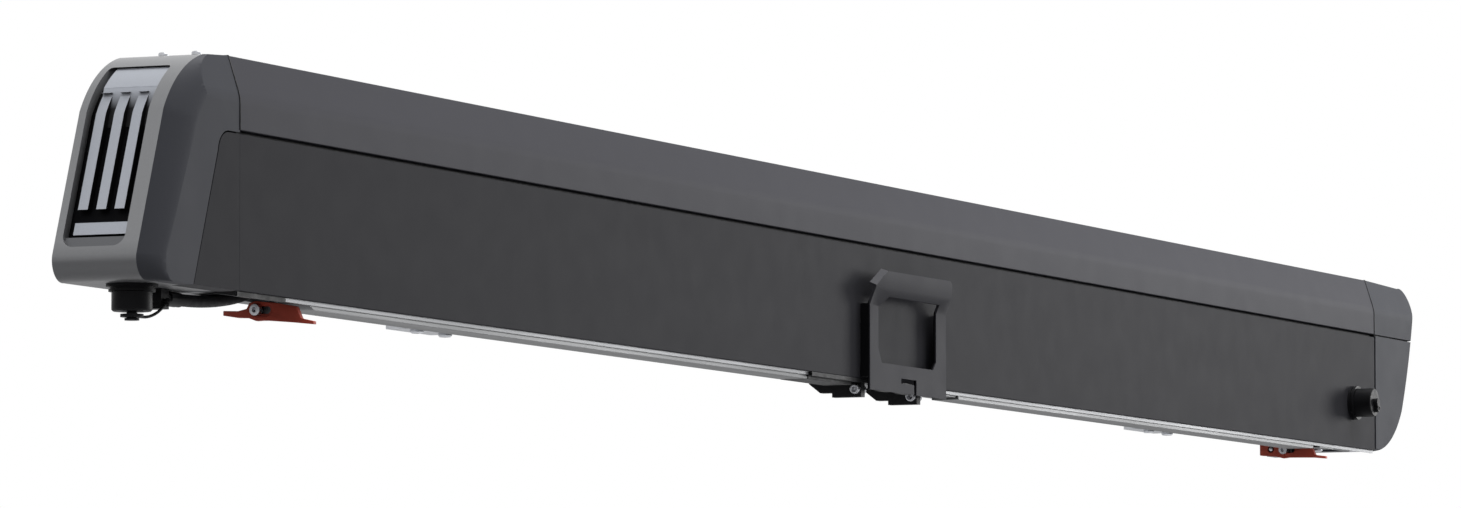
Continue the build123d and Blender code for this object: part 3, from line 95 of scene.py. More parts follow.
class Surface:
    """Builds one procedural material node by node."""

    def __init__(self, name):
        self.material = bpy.data.materials.new(name)
        self.material.use_nodes = True
        self.tree = self.material.node_tree
        self.shader = self.tree.nodes["Principled BSDF"]
        self.coords = self.tree.nodes.new("ShaderNodeTexCoord")
        self.height = None

    def node(self, kind, **values):
        """New node, with values for its inputs or its settings."""
        made = self.tree.nodes.new(kind)
        for key, value in values.items():
            if key in made.inputs:
                made.inputs[key].default_value = value
            else:
                setattr(made, key, value)
        return made

    def link(self, a, b):
        self.tree.links.new(a, b)

    def stretched(self, scale):
        mapping = self.node("ShaderNodeMapping")
        mapping.inputs["Scale"].default_value = scale
        self.link(self.coords.outputs["Object"], mapping.inputs["Vector"])
        return mapping.outputs["Vector"]

    def noise(self, scale, detail=3.0, stretch=(1, 1, 1)):
        made = self.node("ShaderNodeTexNoise", Scale=scale, Detail=detail)
        self.link(self.stretched(stretch), made.inputs["Vector"])
        return made.outputs["Fac"]

    def spread(self, factor, low, high, start=0.3, end=0.7):
        """Maps a texture's middle range to a range of values."""
        made = self.node("ShaderNodeMapRange")
        made.inputs["From Min"].default_value = start
        made.inputs["From Max"].default_value = end
        made.inputs["To Min"].default_value = low
        made.inputs["To Max"].default_value = high
        self.link(factor, made.inputs["Value"])
        return made.outputs["Result"]

    def colour(self, factor, dark, light, start=0.3, end=0.7):
        """Maps a texture's middle range to a range of colours."""
        ramp = self.tree.nodes.new("ShaderNodeValToRGB")
        for stop, position, colour in zip(ramp.color_ramp.elements, (start, end), (dark, light)):
            stop.position = position
            stop.color = colour
        self.link(factor, ramp.inputs["Fac"])
        return ramp.outputs["Color"]

    def axes(self, vector):
        split = self.tree.nodes.new("ShaderNodeSeparateXYZ")
        self.link(vector, split.inputs["Vector"])
        return split.outputs

    def place(self):
        """Position on the piece in the row frame, as outputs X, Y and Z."""
        return self.axes(self.coords.outputs["Object"])

    def facing(self):
        """Direction of the face, as outputs X, Y and Z."""
        return self.axes(self.tree.nodes.new("ShaderNodeNewGeometry").outputs["True Normal"])

    def maths(self, operation, first, second=None):
        """One math step on an output and a number or a second output."""
        made = self.node("ShaderNodeMath", operation=operation)
        self.link(first, made.inputs[0])
        if isinstance(second, float):
            made.inputs[1].default_value = second
        elif second is not None:
            self.link(second, made.inputs[1])
        return made.outputs["Value"]

    def darkened(self, colour, mask, dark):
        """The colour where the mask is 0, and the dark one where it is 1."""
        mix = self.node("ShaderNodeMix", data_type="RGBA")
        self.link(mask, mix.inputs["Factor"])
        self.link(colour, mix.inputs[MIX_COLOUR_A])
        mix.inputs[MIX_COLOUR_B].default_value = dark
        return mix.outputs[MIX_COLOUR_OUT]

    def base(self, output):
        self.link(output, self.shader.inputs["Base Color"])

    def rough(self, output):
        self.link(output, self.shader.inputs["Roughness"])

    def bump(self, factor, strength, distance):
        """Adds a bump on top of the bumps made before."""
        made = self.node("ShaderNodeBump", Strength=strength, Distance=distance)
        self.link(factor, made.inputs["Height"])
        if self.height is not None:
            self.link(self.height, made.inputs["Normal"])
        self.height = made.outputs["Normal"]
        self.link(self.height, self.shader.inputs["Normal"])

    def fixed(self, **values):
        """Sets inputs of the shader; an underscore stands for a space in their names."""
        for key, value in values.items():
            self.shader.inputs[key.replace("_", " ")].default_value = value


def shade(rgb, gain):
    """The colour made lighter or darker."""
    return (rgb[0] * gain, rgb[1] * gain, rgb[2] * gain, 1.0)


def powder_coat(name, rgb, low, high, shine, painted_shade_mask=None):
    """Powder coat or fine moulding: tiny orange peel and a faint unevenness."""
    s = Surface(name)
    broad = s.noise(6.0, 4.0, (0.35, 1, 1))
    colour = s.colour(broad, shade(rgb, 0.97), shade(rgb, 1.03))
    # Where the mask is set, painted shade darkens the colour to black
    if painted_shade_mask:
        colour = s.darkened(colour, painted_shade_mask(s), PAINTED_SHADE_BLACK)
    s.base(colour)
    s.rough(s.spread(s.noise(35.0, 5.0), low, high))
    s.bump(s.noise(2600.0, 2.0), 0.10, 0.0002)
    s.bump(s.noise(420.0, 2.0), 0.05, 0.0005)
    s.fixed(Specular_IOR_Level=shine)
    return s.material


# Masks for painted shade: where the end caps lie behind the grilles, beyond this X and behind
# this Y
GRILLE_BACK_X = 1.262
GRILLE_BACK_Y = -0.0712
# Grille: how far a face's direction goes to count as a flank or a lower end of a rib,
# the height of its head plate, the sloping floors as (slope, reach from the centre), and
# the heights between which the painted shade on the floors fades
FLANK_TURN = 0.5
RIB_END_TURN = -0.8
GRILLE_HEAD = 0.0598
LEFT_FLOOR = (0.3158, 1.3503)
RIGHT_FLOOR = (-0.5329, 1.3484)
FLOOR_FADE = (0.044, 0.058)
# Handle plate's painted shade: how far a face of the left flange turns to the left, and the Y it
# lies behind
FLANGE_TURN = -0.7
FLANGE_FRONT_Y = -0.0925
# End skins: heights between which painted shade darkens them
BAND_SHADE_FADE = (-0.080, -0.056)


def grille_recess_shade(s):
    """One behind the grilles, where painted shade darkens the cap: further out than the seam and
    further back than the bevel.
    """
    at = s.place()
    beyond = s.maths("GREATER_THAN", s.maths("ABSOLUTE", at["X"]), GRILLE_BACK_X)
    return s.maths("MULTIPLY", beyond, s.maths("GREATER_THAN", at["Y"], GRILLE_BACK_Y))


def rib_recess_shade(s):
    """Painted shade: one on the flanks and lower ends of the ribs, rising to one down the floor
    between them.
    """
    at, facing = s.place(), s.facing()
    flank = s.maths("GREATER_THAN", s.maths("ABSOLUTE", facing["Y"]), FLANK_TURN)
    end = s.maths("LESS_THAN", facing["Z"], RIB_END_TURN)
    floors = []
    for side, (slope, reach) in (("SUBTRACT", LEFT_FLOOR), ("ADD", RIGHT_FLOOR)):
        rise = s.maths("MULTIPLY", at["Z"], slope)
        floors.append(s.maths("LESS_THAN", s.maths(side, rise, at["X"]), reach))
    fade = s.spread(at["Z"], 1.0, 0.0, *FLOOR_FADE)
    floor = s.maths("MULTIPLY", s.maths("MULTIPLY", *floors), fade)
    inside = s.maths("MAXIMUM", s.maths("MAXIMUM", flank, end), floor)
    return s.maths("MULTIPLY", inside, s.maths("LESS_THAN", at["Z"], GRILLE_HEAD))


def flange_painted_shade(s):
    """One on the outer face of the handle plate's left flange, where its own shade is painted
    black.
    """
    to_left = s.maths("LESS_THAN", s.facing()["X"], FLANGE_TURN)
    return s.maths("MULTIPLY", to_left, s.maths("GREATER_THAN", s.place()["Y"], FLANGE_FRONT_Y))


def underside_painted_shade(s):
    """Painted shade: rises to 0.6 down the lowest part of the end skins, which turns under."""
    return s.spread(s.place()["Z"], 0.6, 0.0, *BAND_SHADE_FADE)


def metallic_paint(name, rgb, low, high, painted_shade_mask=None, dark=None):
    """Silver paint with fine flakes."""
    s = Surface(name)
    flakes = s.noise(3800.0, 1.0)
    colour = s.colour(flakes, shade(rgb, 0.86), shade(rgb, 1.1))
    # Where the mask is set, painted shade darkens the colour, to black unless another dark colour
    # is given
    if painted_shade_mask:
        colour = s.darkened(colour, painted_shade_mask(s), dark or PAINTED_SHADE_BLACK)
    s.base(colour)
    s.rough(s.spread(s.noise(14.0, 4.0), low, high))
    s.bump(flakes, 0.08, 0.0001)
    s.fixed(Metallic=0.55)
    return s.material


def drawn_aluminium(name, rgb, low, high):
    """Extruded metal with fine lines along X."""
    s = Surface(name)
    lines = s.noise(900.0, 3.0, (0.004, 1, 1))
    s.base(s.colour(lines, shade(rgb, 0.86), shade(rgb, 1.08)))
    s.rough(s.spread(s.noise(60.0, 4.0, (0.05, 1, 1)), low, high))
    s.bump(lines, 0.25, 0.0002)
    s.bump(s.noise(30.0, 3.0), 0.03, 0.001)
    s.fixed(Metallic=0.9)
    return s.material


def cast_metal(name, rgb, low, high):
    """Cast alloy with a fine grain."""
    s = Surface(name)
    grain = s.noise(700.0, 4.0)
    s.base(s.colour(s.noise(25.0, 4.0), shade(rgb, 0.85), shade(rgb, 1.08)))
    s.rough(s.spread(grain, low, high))
    s.bump(grain, 0.25, 0.0004)
    s.fixed(Metallic=0.85)
    return s.material


def zinc(name, rgb, low, high):
    """Plated steel with a faint spangle."""
    s = Surface(name)
    cells = s.node("ShaderNodeTexVoronoi", Scale=260.0)
    s.link(s.coords.outputs["Object"], cells.inputs["Vector"])
    s.base(s.colour(cells.outputs["Distance"], shade(rgb, 0.88), shade(rgb, 1.08), 0.1, 0.8))
    s.rough(s.spread(s.noise(90.0, 4.0), low, high))
    s.bump(s.noise(1400.0, 2.0), 0.06, 0.0002)
    s.fixed(Metallic=0.95)
    return s.material


def moulded(name, rgb, low, high, grain=1500.0, strength=0.08, shine=0.3):
    """Moulded plastic: fine grain and lighter and darker patches."""
    s = Surface(name)
    s.base(s.colour(s.noise(40.0, 5.0), shade(rgb, 0.88), shade(rgb, 1.14)))
    s.rough(s.spread(s.noise(120.0, 4.0), low, high))
    s.bump(s.noise(grain, 2.0), strength, 0.0002)
    s.fixed(Specular_IOR_Level=shine)
    return s.material


def rubber(name, rgb):
    """Soft black with a fine grain."""
    s = Surface(name)
    s.base(s.colour(s.noise(80.0, 4.0), shade(rgb, 0.85), shade(rgb, 1.2)))
    s.rough(s.spread(s.noise(200.0, 3.0), 0.55, 0.72))
    s.bump(s.noise(2200.0, 2.0), 0.10, 0.0002)
    s.fixed(Specular_IOR_Level=0.15)
    return s.material


def weave(name, rgb):
    """Coated acrylic cloth: two crossed sets of threads."""
    s = Surface(name)
    threads = []
    for direction in ("X", "Y"):
        made = s.node("ShaderNodeTexWave", Scale=420.0, Distortion=0.6, Detail=1.0)
        made.bands_direction = direction
        s.link(s.coords.outputs["Object"], made.inputs["Vector"])
        threads.append(made.outputs["Fac"])
    both = s.maths("MULTIPLY", *threads)
    s.base(s.colour(s.noise(9.0, 5.0), shade(rgb, 0.9), shade(rgb, 1.1)))
    s.rough(s.spread(both, 0.62, 0.8, 0.0, 1.0))
    s.bump(both, 0.3, 0.0003)
    s.fixed(Sheen_Weight=0.15)
    return s.material


ANTHRACITE = linear(60, 60, 64)
CAP_GREY = linear(58, 59, 63)
# Colour of the painted shade under the end skins
BAND_PAINTED_SHADE = linear(52, 52, 54)
# Black of the painted shade that the shade masks lay into recesses and shaded faces
PAINTED_SHADE_BLACK = linear(17, 17, 19)

# Looks: name, colour, least and greatest roughness, and what the kind of material asks for
looks = {
    "hood": powder_coat("hood_powder_coat", shade(ANTHRACITE, 1.55), 0.46, 0.49, 0.03),
    "panel": powder_coat("panel_powder_coat", shade(ANTHRACITE, 0.64), 0.46, 0.49, 0.02),
    # The handle's left flange has painted shade
    "handle": powder_coat("handle_powder_coat", shade(ANTHRACITE, 1.03), 0.46, 0.50, 0.03,
                          flange_painted_shade),
    # The cap has painted shade behind the grilles
    "cap": powder_coat("cap_moulding", shade(CAP_GREY, 1.6), 0.48, 0.52, 0.03, grille_recess_shade),
    # The end skins have painted shade towards their bottom
    "band": metallic_paint("band_silver_paint", linear(138, 139, 141), 0.34, 0.44,
                           underside_painted_shade, BAND_PAINTED_SHADE),
    "sill": metallic_paint("sill_satin", linear(104, 105, 108), 0.45, 0.55),
    # The insert has painted shade on the rib flanks, rib ends and the floors between the ribs
    "insert": metallic_paint("insert_satin", linear(176, 180, 188), 0.40, 0.50, rib_recess_shade),
    "rail": drawn_aluminium("bare_extrusion", linear(98, 99, 101), 0.34, 0.46),
    "leg": drawn_aluminium("leg_extrusion", linear(98, 99, 100), 0.38, 0.50),
    "arm": powder_coat("arm_powder_coat", linear(198, 199, 201), 0.40, 0.50, 0.4),
    "cast": cast_metal("cast_alloy", linear(178, 180, 183), 0.42, 0.58),
    "zinc": zinc("zinc_plate", linear(190, 192, 196), 0.28, 0.42),
    "screw": zinc("bright_screw", linear(178, 179, 183), 0.26, 0.38),
    "black": moulded("black_gloss_plastic", linear(22, 22, 24), 0.36, 0.46, 900.0, 0.05, 0.07),
    "mould": moulded("black_moulding", linear(24, 24, 26), 0.45, 0.58, shine=0.15),
    "red": moulded("brick_red_plastic", linear(184, 80, 63), 0.40, 0.52, shine=0.2),
    "rubber": rubber("soft_black", linear(26, 26, 28)),
    "cloth": weave("canopy_weave", linear(150, 154, 160)),
}

# Which solids wear which look
DRESS = {
    "hood": ["hood_profile"],
    # The left rail cap wears the darker panel coat as painted shade; the right rail cap, the same
    # moulding, wears the lighter cap colour
    "panel": ["front_panel", "left_rail_cap"],
    "handle": ["handle_plate"],
    "cap": ["left_end_cap", "right_end_cap", "right_rail_cap"],
    "band": ["left_end_band", "right_end_band"],
    "insert": ["left_grille_insert", "right_grille_insert"],
    "rail": ["back_housing", "lead_rail_profile"],
    "leg": ["leg_outer_left", "leg_outer_right", "leg_inner_left", "leg_inner_right",
            "latch_hangers"],
    "arm": ["upper_arm_left", "upper_arm_right", "forearm_left", "forearm_right"],
    "cast": ["upper_arm_ends_left", "upper_arm_ends_right", "forearm_ends_left",
             "forearm_ends_right", "shoulder_bracket_left", "shoulder_bracket_right",
             "wrist_bracket_left", "wrist_bracket_right", "roller_bracket_left",
             "roller_bracket_right", "leg_hinges"],
    "zinc": ["wall_bracket_left", "wall_bracket_right", "bracket_screws", "shoulder_pins",
             "roller_tube", "spring_unit", "end_cap_screws"],
    "screw": ["rail_screws"],
    "black": ["power_socket", "power_cap", "led_socket", "led_cap", "cable_gland"],
    "mould": ["handle_mount", "foot_left", "foot_right", "roller_plug_left",
              "roller_plug_right", "roller_bushes"],
    "red": ["latch_left", "latch_right"],
    "rubber": ["hood_seal", "tether_ends", "power_cable", "power_tether"],
    "cloth": ["canopy_roll", "canopy_sheet"],
}

# Width of the small round on the sharp edges of these solids
SOFT_EDGES = {
    0.0004: ["power_cap", "led_cap", "power_socket", "led_socket", "cable_gland",
             "latch_hangers"],
    0.0005: ["latch_left", "latch_right"],
    0.0006: ["hood_profile", "front_panel", "handle_plate", "handle_mount"],
    0.0007: ["left_end_band", "right_end_band"],
    0.0008: ["left_end_cap", "right_end_cap", "left_rail_cap", "right_rail_cap",
             "left_grille_insert", "right_grille_insert", "foot_left", "foot_right",
             "leg_outer_left", "leg_outer_right"],
}
WELD_GAP = 0.00001
ROUNDED_ANGLE = math.radians(30)
SMOOTH_ANGLE = math.radians(35)


def paint(obj, look):
    obj.data.materials.clear()
    obj.data.materials.append(looks[look])


def soften(obj, width):
    """Small round on every sharp edge, so that edges catch the light."""
    weld = obj.modifiers.new("weld", "WELD")
    weld.merge_threshold = WELD_GAP
    bevel = obj.modifiers.new("edge", "BEVEL")
    bevel.width = width
    bevel.segments = 2
    bevel.limit_method = "ANGLE"
    bevel.angle_limit = ROUNDED_ANGLE
    bevel.use_clamp_overlap = True
    rounding = obj.modifiers.new("rounding", "NODES")
    rounding.node_group = smooth_by_angle()
    weighted = obj.modifiers.new("weighted", "WEIGHTED_NORMAL")
    weighted.keep_sharp = True


def smooth_by_angle():
    """Node group that smooths the shading over edges that turn less than SMOOTH_ANGLE."""
    group = bpy.data.node_groups.get("smooth_by_angle")
    if group:
        return group
    group = bpy.data.node_groups.new("smooth_by_angle", "GeometryNodeTree")
    for side in ("INPUT", "OUTPUT"):
        group.interface.new_socket("Geometry", in_out=side, socket_type="NodeSocketGeometry")
    source = group.nodes.new("NodeGroupInput")
    sink = group.nodes.new("NodeGroupOutput")
    faces = group.nodes.new("GeometryNodeSetShadeSmooth")
    faces.domain = "FACE"
    edges = group.nodes.new("GeometryNodeSetShadeSmooth")
    edges.domain = "EDGE"
    angle = group.nodes.new("GeometryNodeInputMeshEdgeAngle")
    small = group.nodes.new("FunctionNodeCompare")
    small.data_type = "FLOAT"
    small.operation = "LESS_THAN"
    small.inputs[1].default_value = SMOOTH_ANGLE
    group.links.new(source.outputs[0], faces.inputs["Geometry"])
    group.links.new(faces.outputs["Geometry"], edges.inputs["Geometry"])
    group.links.new(angle.outputs["Unsigned Angle"], small.inputs[0])
    group.links.new(small.outputs["Result"], edges.inputs["Shade Smooth"])
    group.links.new(edges.outputs["Geometry"], sink.inputs[0])
    return group


def dress_nodes():
    """Gives every solid its look and its soft edges."""
    for look, names in DRESS.items():
        for name in names:
            paint(nodes[name], look)
    for width, names in SOFT_EDGES.items():
        for name in names:
            soften(nodes[name], width)


# Helpers for new pieces

def new_piece(name, bm, look, body, smooth_faces=True):
    """Makes a piece of the mesh and lets it ride on the body, if one is named."""
    mesh = bpy.data.meshes.new(name)
    bmesh.ops.recalc_face_normals(bm, faces=bm.faces)
    bm.to_mesh(mesh)
    bm.free()
    obj = bpy.data.objects.new(name, mesh)
    scene.collection.objects.link(obj)
    paint(obj, look)
    if smooth_faces:
        for polygon in mesh.polygons:
            polygon.use_smooth = True
    if body:
        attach(obj, body)
    return obj


def skin(bm, rows, closed=False):
    """Faces between neighbouring rows of vertices; closed rows are rings."""
    for low, high in zip(rows, rows[1:]):
        count = len(low)
        for k in range(count if closed else count - 1):
            following = (k + 1) % count
            bm.faces.new((low[k], low[following], high[following], high[k]))


def capped(bm, rings):
    """Closed solid through rings of vertices."""
    skin(bm, rings, closed=True)
    bm.faces.new(rings[0][::-1])
    bm.faces.new(rings[-1])


def turned(bm, profile, centre, axis, steps=48):
    """Round solid from (distance along axis, radius) points; closes at both ends."""
    axis = Vector(axis).normalized()
    side = axis.orthogonal().normalized()
    other = axis.cross(side)
    rings = []
    for along, radius in profile:
        middle = Vector(centre) + axis * along
        ring = []
        for k in range(steps):
            a = 2 * math.pi * k / steps
            spoke = side * math.cos(a) + other * math.sin(a)
            ring.append(bm.verts.new(middle + spoke * radius))
        rings.append(ring)
    capped(bm, rings)


def thicken(obj, thickness):
    """Gives a skin this thickness, half to each side."""
    solid = obj.modifiers.new("thickness", "SOLIDIFY")
    solid.thickness = thickness
    solid.offset = 0


# Canopy: axis of the roller (Y, Z), radii of the roll and the tube, half the cloth's width,
# the winding's clearance, its ripple, its share of cloth, how far the tail stands inside its box,
# and the depth within which a corner of that sheet belongs to one of its edges
ROLLER = (-0.0428, 0.047)
ROLL_R = 0.0295
TUBE_R = 0.025
CANOPY_HALF = 1.190
WINDING_TURNS = 7
WINDING_STEPS = 72
WINDING_COLUMNS = 24
WINDING_GAP = 0.0002
WINDING_RIPPLE = 0.00008
RIPPLE_ALONG = 1.7
RIPPLE_ROUND = 3
CLOTH_SHARE = 0.55
TAIL_ROWS = 64
TAIL_COLUMNS = 96
TAIL_INSET = 0.0003
TAIL_EDGE = 0.0006


def across(column, columns):
    """X of one column of the cloth."""
    return -CANOPY_HALF + 2 * CANOPY_HALF * column / columns


def canopy_roll():
    """One spiral of cloth from the tube to the outside of the roll."""
    bm = bmesh.new()
    count = WINDING_TURNS * WINDING_STEPS
    inner, outer = TUBE_R + WINDING_GAP, ROLL_R - WINDING_GAP
    grid = []
    for i in range(count + 1):
        a = 2 * math.pi * i / WINDING_STEPS
        row = []
        for j in range(WINDING_COLUMNS + 1):
            ripple = WINDING_RIPPLE * math.sin(j * RIPPLE_ALONG + a * RIPPLE_ROUND)
            r = inner + (outer - inner) * i / count + ripple
            y, z = ROLLER[0] - r * math.cos(a), ROLLER[1] + r * math.sin(a)
            row.append(bm.verts.new((across(j, WINDING_COLUMNS), y, z)))
        grid.append(row)
    skin(bm, grid)
    obj = new_piece("canopy_winding", bm, "cloth", None)
    thicken(obj, (ROLL_R - TUBE_R) / WINDING_TURNS * CLOTH_SHARE)
    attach(obj, "roller")
    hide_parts("canopy_roll")


def canopy_tail():
    """Sheet from the underside of the roll to the hem groove of the lead rail."""
    low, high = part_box("canopy_sheet")
    y_roll, y_hem = high.y - TAIL_INSET, low.y + TAIL_INSET
    z_roll, z_hem = tail_ends()
    bm = bmesh.new()
    grid = []
    for i in range(TAIL_ROWS + 1):
        t = i / TAIL_ROWS
        y = y_roll + (y_hem - y_roll) * t
        z = z_roll + (z_hem - z_roll) * t
        grid.append([bm.verts.new((across(j, TAIL_COLUMNS), y, z))
                     for j in range(TAIL_COLUMNS + 1)])
    skin(bm, grid)
    obj = new_piece("canopy_tail", bm, "cloth", None)
    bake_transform(obj)
    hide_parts("canopy_sheet")


def tail_ends():
    """Heights of the sheet's middle at the roll and at the hem, as it runs on a slope."""
    vertices = [v.co for v in nodes["canopy_sheet"].data.vertices]
    heights = []
    for edge in (max(v.y for v in vertices), min(v.y for v in vertices)):
        there = [v.z for v in vertices if abs(v.y - edge) < TAIL_EDGE]
        heights.append(sum(there) / len(there))
    return heights


# Dust cap strap: the point on the cap's axis beside which it starts, its radius, and its way
# to the lug on the gland as steps from that point
STRAP_FROM = (-1.343, -0.045, -0.1079)
STRAP_R = 0.0011
STRAP_STEPS = ((0.0086, 0.0, 0.0), (0.0174, -0.0003, -0.0002), (0.0258, -0.0009, 0.0009),
               (0.0336, -0.0016, 0.0034), (0.0406, -0.0023, 0.0070), (0.0466, -0.0029, 0.0114))


def tether():
    """Strap of the power socket's dust cap."""
    points = [tuple(a + b for a, b in zip(STRAP_FROM, step)) for step in STRAP_STEPS]
    curve = bpy.data.curves.new("dust_cap_strap", "CURVE")
    curve.dimensions = "3D"
    curve.bevel_depth = STRAP_R
    curve.bevel_resolution = 6
    curve.use_fill_caps = True
    spline = curve.splines.new("NURBS")
    spline.points.add(len(points) - 1)
    for point, at in zip(spline.points, points):
        point.co = (*at, 1.0)
    spline.order_u = 3
    spline.use_endpoint_u = True
    spline.resolution_u = 16
    obj = bpy.data.objects.new("dust_cap_strap", curve)
    scene.collection.objects.link(obj)
    curve.materials.append(looks["rubber"])
    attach(obj, "cassette")
    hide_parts("power_tether")


# Cap screw heads on the feet: axis (Y, Z), radii of head and socket, their heights over the
# foot, the small cut edges, and the faces of each foot along X
FOOT_BOLT = (-0.0788, -0.0942)
HEAD_R = 0.0043
SOCKET_R = 0.0021
HEAD_FOOT = 0.0002
HEAD_TOP = 0.0052
SOCKET_FLOOR = 0.0016
HEAD_CUT = 0.0005
SOCKET_CUT = 0.0003
FOOT_FACES = {"left_foot": (-0.084, -0.076), "right_foot": (0.041, 0.049)}


def foot_bolts():
    """Cap screw heads over both faces of each foot."""
    profile = [(HEAD_FOOT, HEAD_R), (HEAD_TOP - HEAD_CUT, HEAD_R), (HEAD_TOP, HEAD_R - HEAD_CUT),
               (HEAD_TOP, SOCKET_R + SOCKET_CUT), (HEAD_TOP - SOCKET_CUT, SOCKET_R),
               (SOCKET_FLOOR, SOCKET_R)]
    for body, faces in FOOT_FACES.items():
        bm = bmesh.new()
        for x, heading in zip(faces, (-1, 1)):
            turned(bm, profile, (x, *FOOT_BOLT), (heading, 0, 0))
        new_piece(body + "_screw_heads", bm, "screw", body)


# End sleeve of the parked left leg: along X, its section (Y, Z) and its wall
SLEEVE_X = (-0.1928, -0.0982)
SLEEVE_Y = (-0.0807, -0.0543)
SLEEVE_Z = (-0.0914, -0.0690)
SLEEVE_WALL = 0.0019
SLEEVE_EDGE = 0.0006


def leg_sleeve():
    """Black sleeve round the end of the inner tube of the left leg."""
    bm = bmesh.new()
    (y0, y1), (z0, z1) = SLEEVE_Y, SLEEVE_Z
    start, end = SLEEVE_X
    rings = []
    for x, wall in ((start, SLEEVE_WALL), (start, 0.0), (end, 0.0), (end, SLEEVE_WALL)):
        corners = ((y0 + wall, z0 + wall), (y1 - wall, z0 + wall),
                   (y1 - wall, z1 - wall), (y0 + wall, z1 - wall))
        rings.append([bm.verts.new((x, *corner)) for corner in corners])
    skin(bm, rings + rings[:1], closed=True)
    obj = new_piece("leg_sleeve_left", bm, "mould", "left_leg_inner", smooth_faces=False)
    soften(obj, SLEEVE_EDGE)


# Rivet of the right lock plate: its place, and its outline as (distance to the left, radius)
RIVET_AT = (1.0895, -0.0300, -0.0902)
RIVET_PROFILE = [(-0.0048, 0.0034), (-0.0040, 0.0034), (-0.0040, 0.0020), (-0.0006, 0.0020),
                 (-0.0001, 0.0015)]


def lock_rivet():
    """Rivet standing in the rear hole of the right lock plate."""
    bm = bmesh.new()
    turned(bm, RIVET_PROFILE, RIVET_AT, (-1, 0, 0))
    new_piece("lock_rivet_right", bm, "zinc", "right_latch")


# Strips on the lead rail: look, low corner and high corner. They are the black gasket beside the
# panel's right cap, two covers under the rail's lip, the middle one black plastic that also
# stands in for the handle's painted shadow, and a plate behind the right lock
STRIPS = {
    "rail_end_gasket": ("rubber", (1.2500, -0.0815, -0.0849), (1.2540, -0.0670, 0.0300)),
    "lip_end_cover": ("mould", (-1.2498, -0.0823, -0.0886), (-1.1720, -0.0801, -0.0852)),
    # Black plastic cover that also carries the handle's painted shadow under the lip
    "lip_mid_cover_and_shadow": ("mould", (-0.1928, -0.0845, -0.0886), (-0.0530, -0.0801, -0.0852)),
    "lock_backing_right": ("mould", (1.0950, -0.0575, -0.0960), (1.0970, -0.0505, -0.0885)),
}


def rail_strips():
    """One box for each strip."""
    for name, (look, low, high) in STRIPS.items():
        bm = bmesh.new()
        size = [b - a for a, b in zip(low, high)]
        centre = [(a + b) / 2 for a, b in zip(low, high)]
        bmesh.ops.create_cube(bm, size=1.0)
        for v in bm.verts:
            v.co = Vector([c + s * n for c, s, n in zip(centre, size, v.co)])
        new_piece(name, bm, look, "lead_rail", smooth_faces=False)


# Plates at the foot of each grille opening, as (X, Z) outlines between two Y
SILLS = {
    "left": ((-1.3792, -0.0530), (-1.3819, -0.0600), (-1.3799, -0.0607), (-1.3772, -0.0537)),
    "right": ((1.3353, -0.0530), (1.3310, -0.0585), (1.3290, -0.0573), (1.3333, -0.0518)),
}
SILL_Y = (-0.0590, -0.0100)


def grille_sills():
    """Grey plate at the foot of each grille opening, set back from the band."""
    for side, outline in SILLS.items():
        bm = bmesh.new()
        capped(bm, [[bm.verts.new((x, y, z)) for x, z in outline] for y in SILL_Y])
        new_piece("grille_foot_" + side, bm, "sill", "cassette", smooth_faces=False)


# Gaskets at the ends of the hood: their X, half width, thickness and the hood's outline (Y, Z)
HOOD_ENDS = {"left": -1.25, "right": 1.25}
GASKET_HALF = 0.0007
GASKET_THICKNESS = 0.0006
HOOD_EDGE = [(-0.0035, 0.0891), (-0.0741, 0.0891), (-0.0825, 0.0627), (-0.0832, 0.0602),
             (-0.0837, 0.0577), (-0.0840, 0.0552), (-0.0841, 0.0525), (-0.0841, 0.0336)]


def hood_gaskets():
    """Black gaskets at the ends of the hood."""
    for side, x in HOOD_ENDS.items():
        bm = bmesh.new()
        skin(bm, [[bm.verts.new((x + dx, y, z)) for y, z in HOOD_EDGE]
                  for dx in (-GASKET_HALF, GASKET_HALF)])
        obj = new_piece("hood_gasket_" + side, bm, "rubber", None)
        thicken(obj, GASKET_THICKNESS)
        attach(obj, "cassette")


# Seal in the joint of the right caps: plan (X, Y) between two heights
SEAL_PLAN = ((1.2560, -0.0815), (1.3560, -0.0800), (1.3640, -0.0740), (1.3680, -0.0690),
             (1.2560, -0.0690))
SEAL_Z = (0.0322, 0.0334)


def right_cap_seal():
    """Dark seal in the joint between the right end cap and the lead rail's right cap."""
    bm = bmesh.new()
    capped(bm, [[bm.verts.new((x, y, z)) for x, y in SEAL_PLAN] for z in SEAL_Z])
    new_piece("right_cap_seal", bm, "rubber", "cassette", smooth_faces=False)


# Lights, floor and background. Lamps: place, target, width, height and power in watts
LAMPS = {
    "key": ((4.0, -4.4, 0.5), (0.3, 0, 0), 1.5, 1.5, 34),
    "side": ((8.0, -3.0, 0.9), (1.2, 0, 0), 2.0, 2.0, 100),
    "left": ((-5.0, -0.7, 3.2), (-1.35, 0, 0), 2.0, 2.0, 42),
    "top": ((1.4, -1.1, 4.2), (0.4, 0, 0), 4.0, 2.0, 290),
}
SKY_SOFT = ((0.97, 0.97, 1.0, 1), 0.35)
SKY_WHITE = ((1, 1, 1, 1), 1.0)
FLOOR_Z = -1.72
FLOOR_HALF = 60.0
FLOOR_PALE = ((0.83, 0.83, 0.83, 1), (0.86, 0.86, 0.86, 1))
# What the floor throws back up onto the awning, darker than it looks
FLOOR_BOUNCE = (0.28, 0.28, 0.28, 1.0)


def area_light(name, at, target, width, height, power):
    data = bpy.data.lights.new(name, "AREA")
    data.shape = "RECTANGLE"
    data.size = width
    data.size_y = height
    data.energy = power
    light = bpy.data.objects.new(name, data)
    scene.collection.objects.link(light)
    light.location = at
    light.rotation_mode = "QUATERNION"
    light.rotation_quaternion = (Vector(target) - Vector(at)).to_track_quat("-Z", "Y")


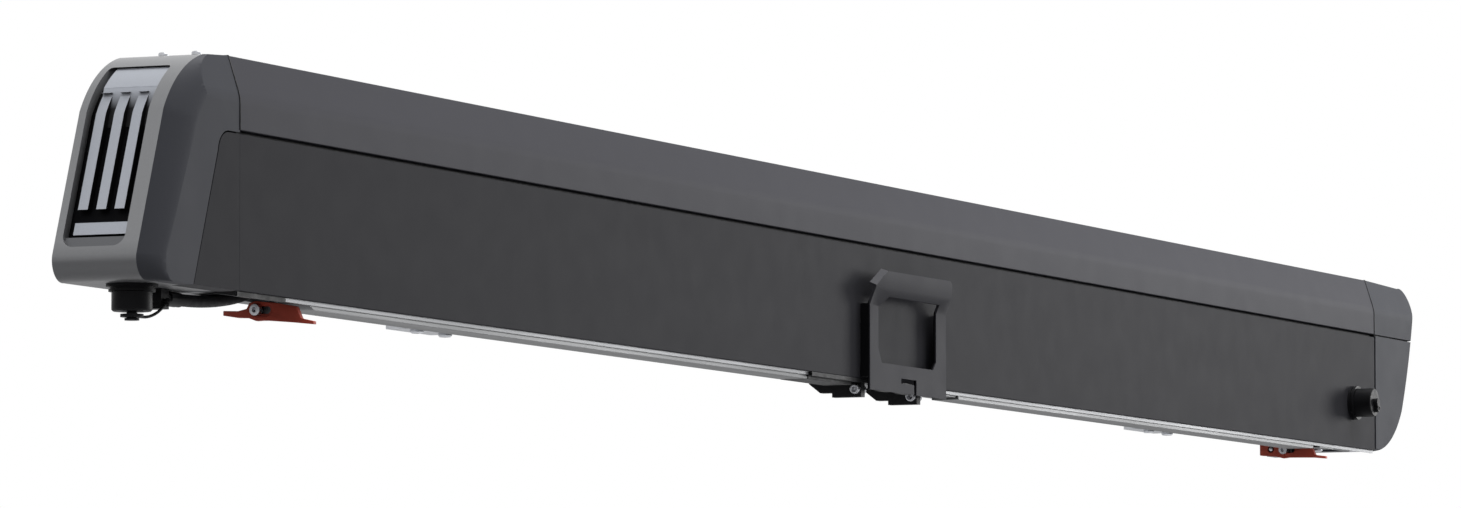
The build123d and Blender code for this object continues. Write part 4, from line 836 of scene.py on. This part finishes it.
def make_world():
    """White where it is seen or mirrored, and softer where it only lights."""
    world = bpy.data.worlds.new("world")
    scene.world = world
    world.use_nodes = True
    tree = world.node_tree
    tree.nodes.clear()
    output = tree.nodes.new("ShaderNodeOutputWorld")
    mix = tree.nodes.new("ShaderNodeMixShader")
    for socket, (colour, strength) in ((1, SKY_SOFT), (2, SKY_WHITE)):
        sky = tree.nodes.new("ShaderNodeBackground")
        sky.inputs["Color"].default_value = colour
        sky.inputs["Strength"].default_value = strength
        tree.links.new(sky.outputs[0], mix.inputs[socket])
    path = tree.nodes.new("ShaderNodeLightPath")
    seen = path.outputs["Is Camera Ray"]
    for kind in ("Is Glossy Ray", "Is Transmission Ray"):
        either = tree.nodes.new("ShaderNodeMath")
        either.operation = "MAXIMUM"
        tree.links.new(seen, either.inputs[0])
        tree.links.new(path.outputs[kind], either.inputs[1])
        seen = either.outputs[0]
    tree.links.new(seen, mix.inputs["Fac"])
    tree.links.new(mix.outputs[0], output.inputs["Surface"])


def make_floor():
    """Pale floor, seen pale and throwing back less light."""
    bm = bmesh.new()
    corners = ((-1, -1), (1, -1), (1, 1), (-1, 1))
    bm.faces.new([bm.verts.new((x * FLOOR_HALF, y * FLOOR_HALF, FLOOR_Z)) for x, y in corners])
    mesh = bpy.data.meshes.new("floor")
    bm.to_mesh(mesh)
    bm.free()
    floor = bpy.data.objects.new("floor", mesh)
    scene.collection.objects.link(floor)
    s = Surface("floor_pale")
    pale = s.colour(s.noise(1.5, 3.0), *FLOOR_PALE)
    bounced = s.tree.nodes.new("ShaderNodeLightPath").outputs["Is Diffuse Ray"]
    s.base(s.darkened(pale, bounced, FLOOR_BOUNCE))
    s.fixed(Roughness=0.9)
    mesh.materials.append(s.material)


scene.view_settings.view_transform = "Standard"
make_camera()
tether()
dress_nodes()
canopy_roll()
canopy_tail()
foot_bolts()
rail_strips()
grille_sills()
hood_gaskets()
leg_sleeve()
lock_rivet()
right_cap_seal()
make_world()
make_floor()
for lamp, settings in LAMPS.items():
    area_light(lamp, *settings)
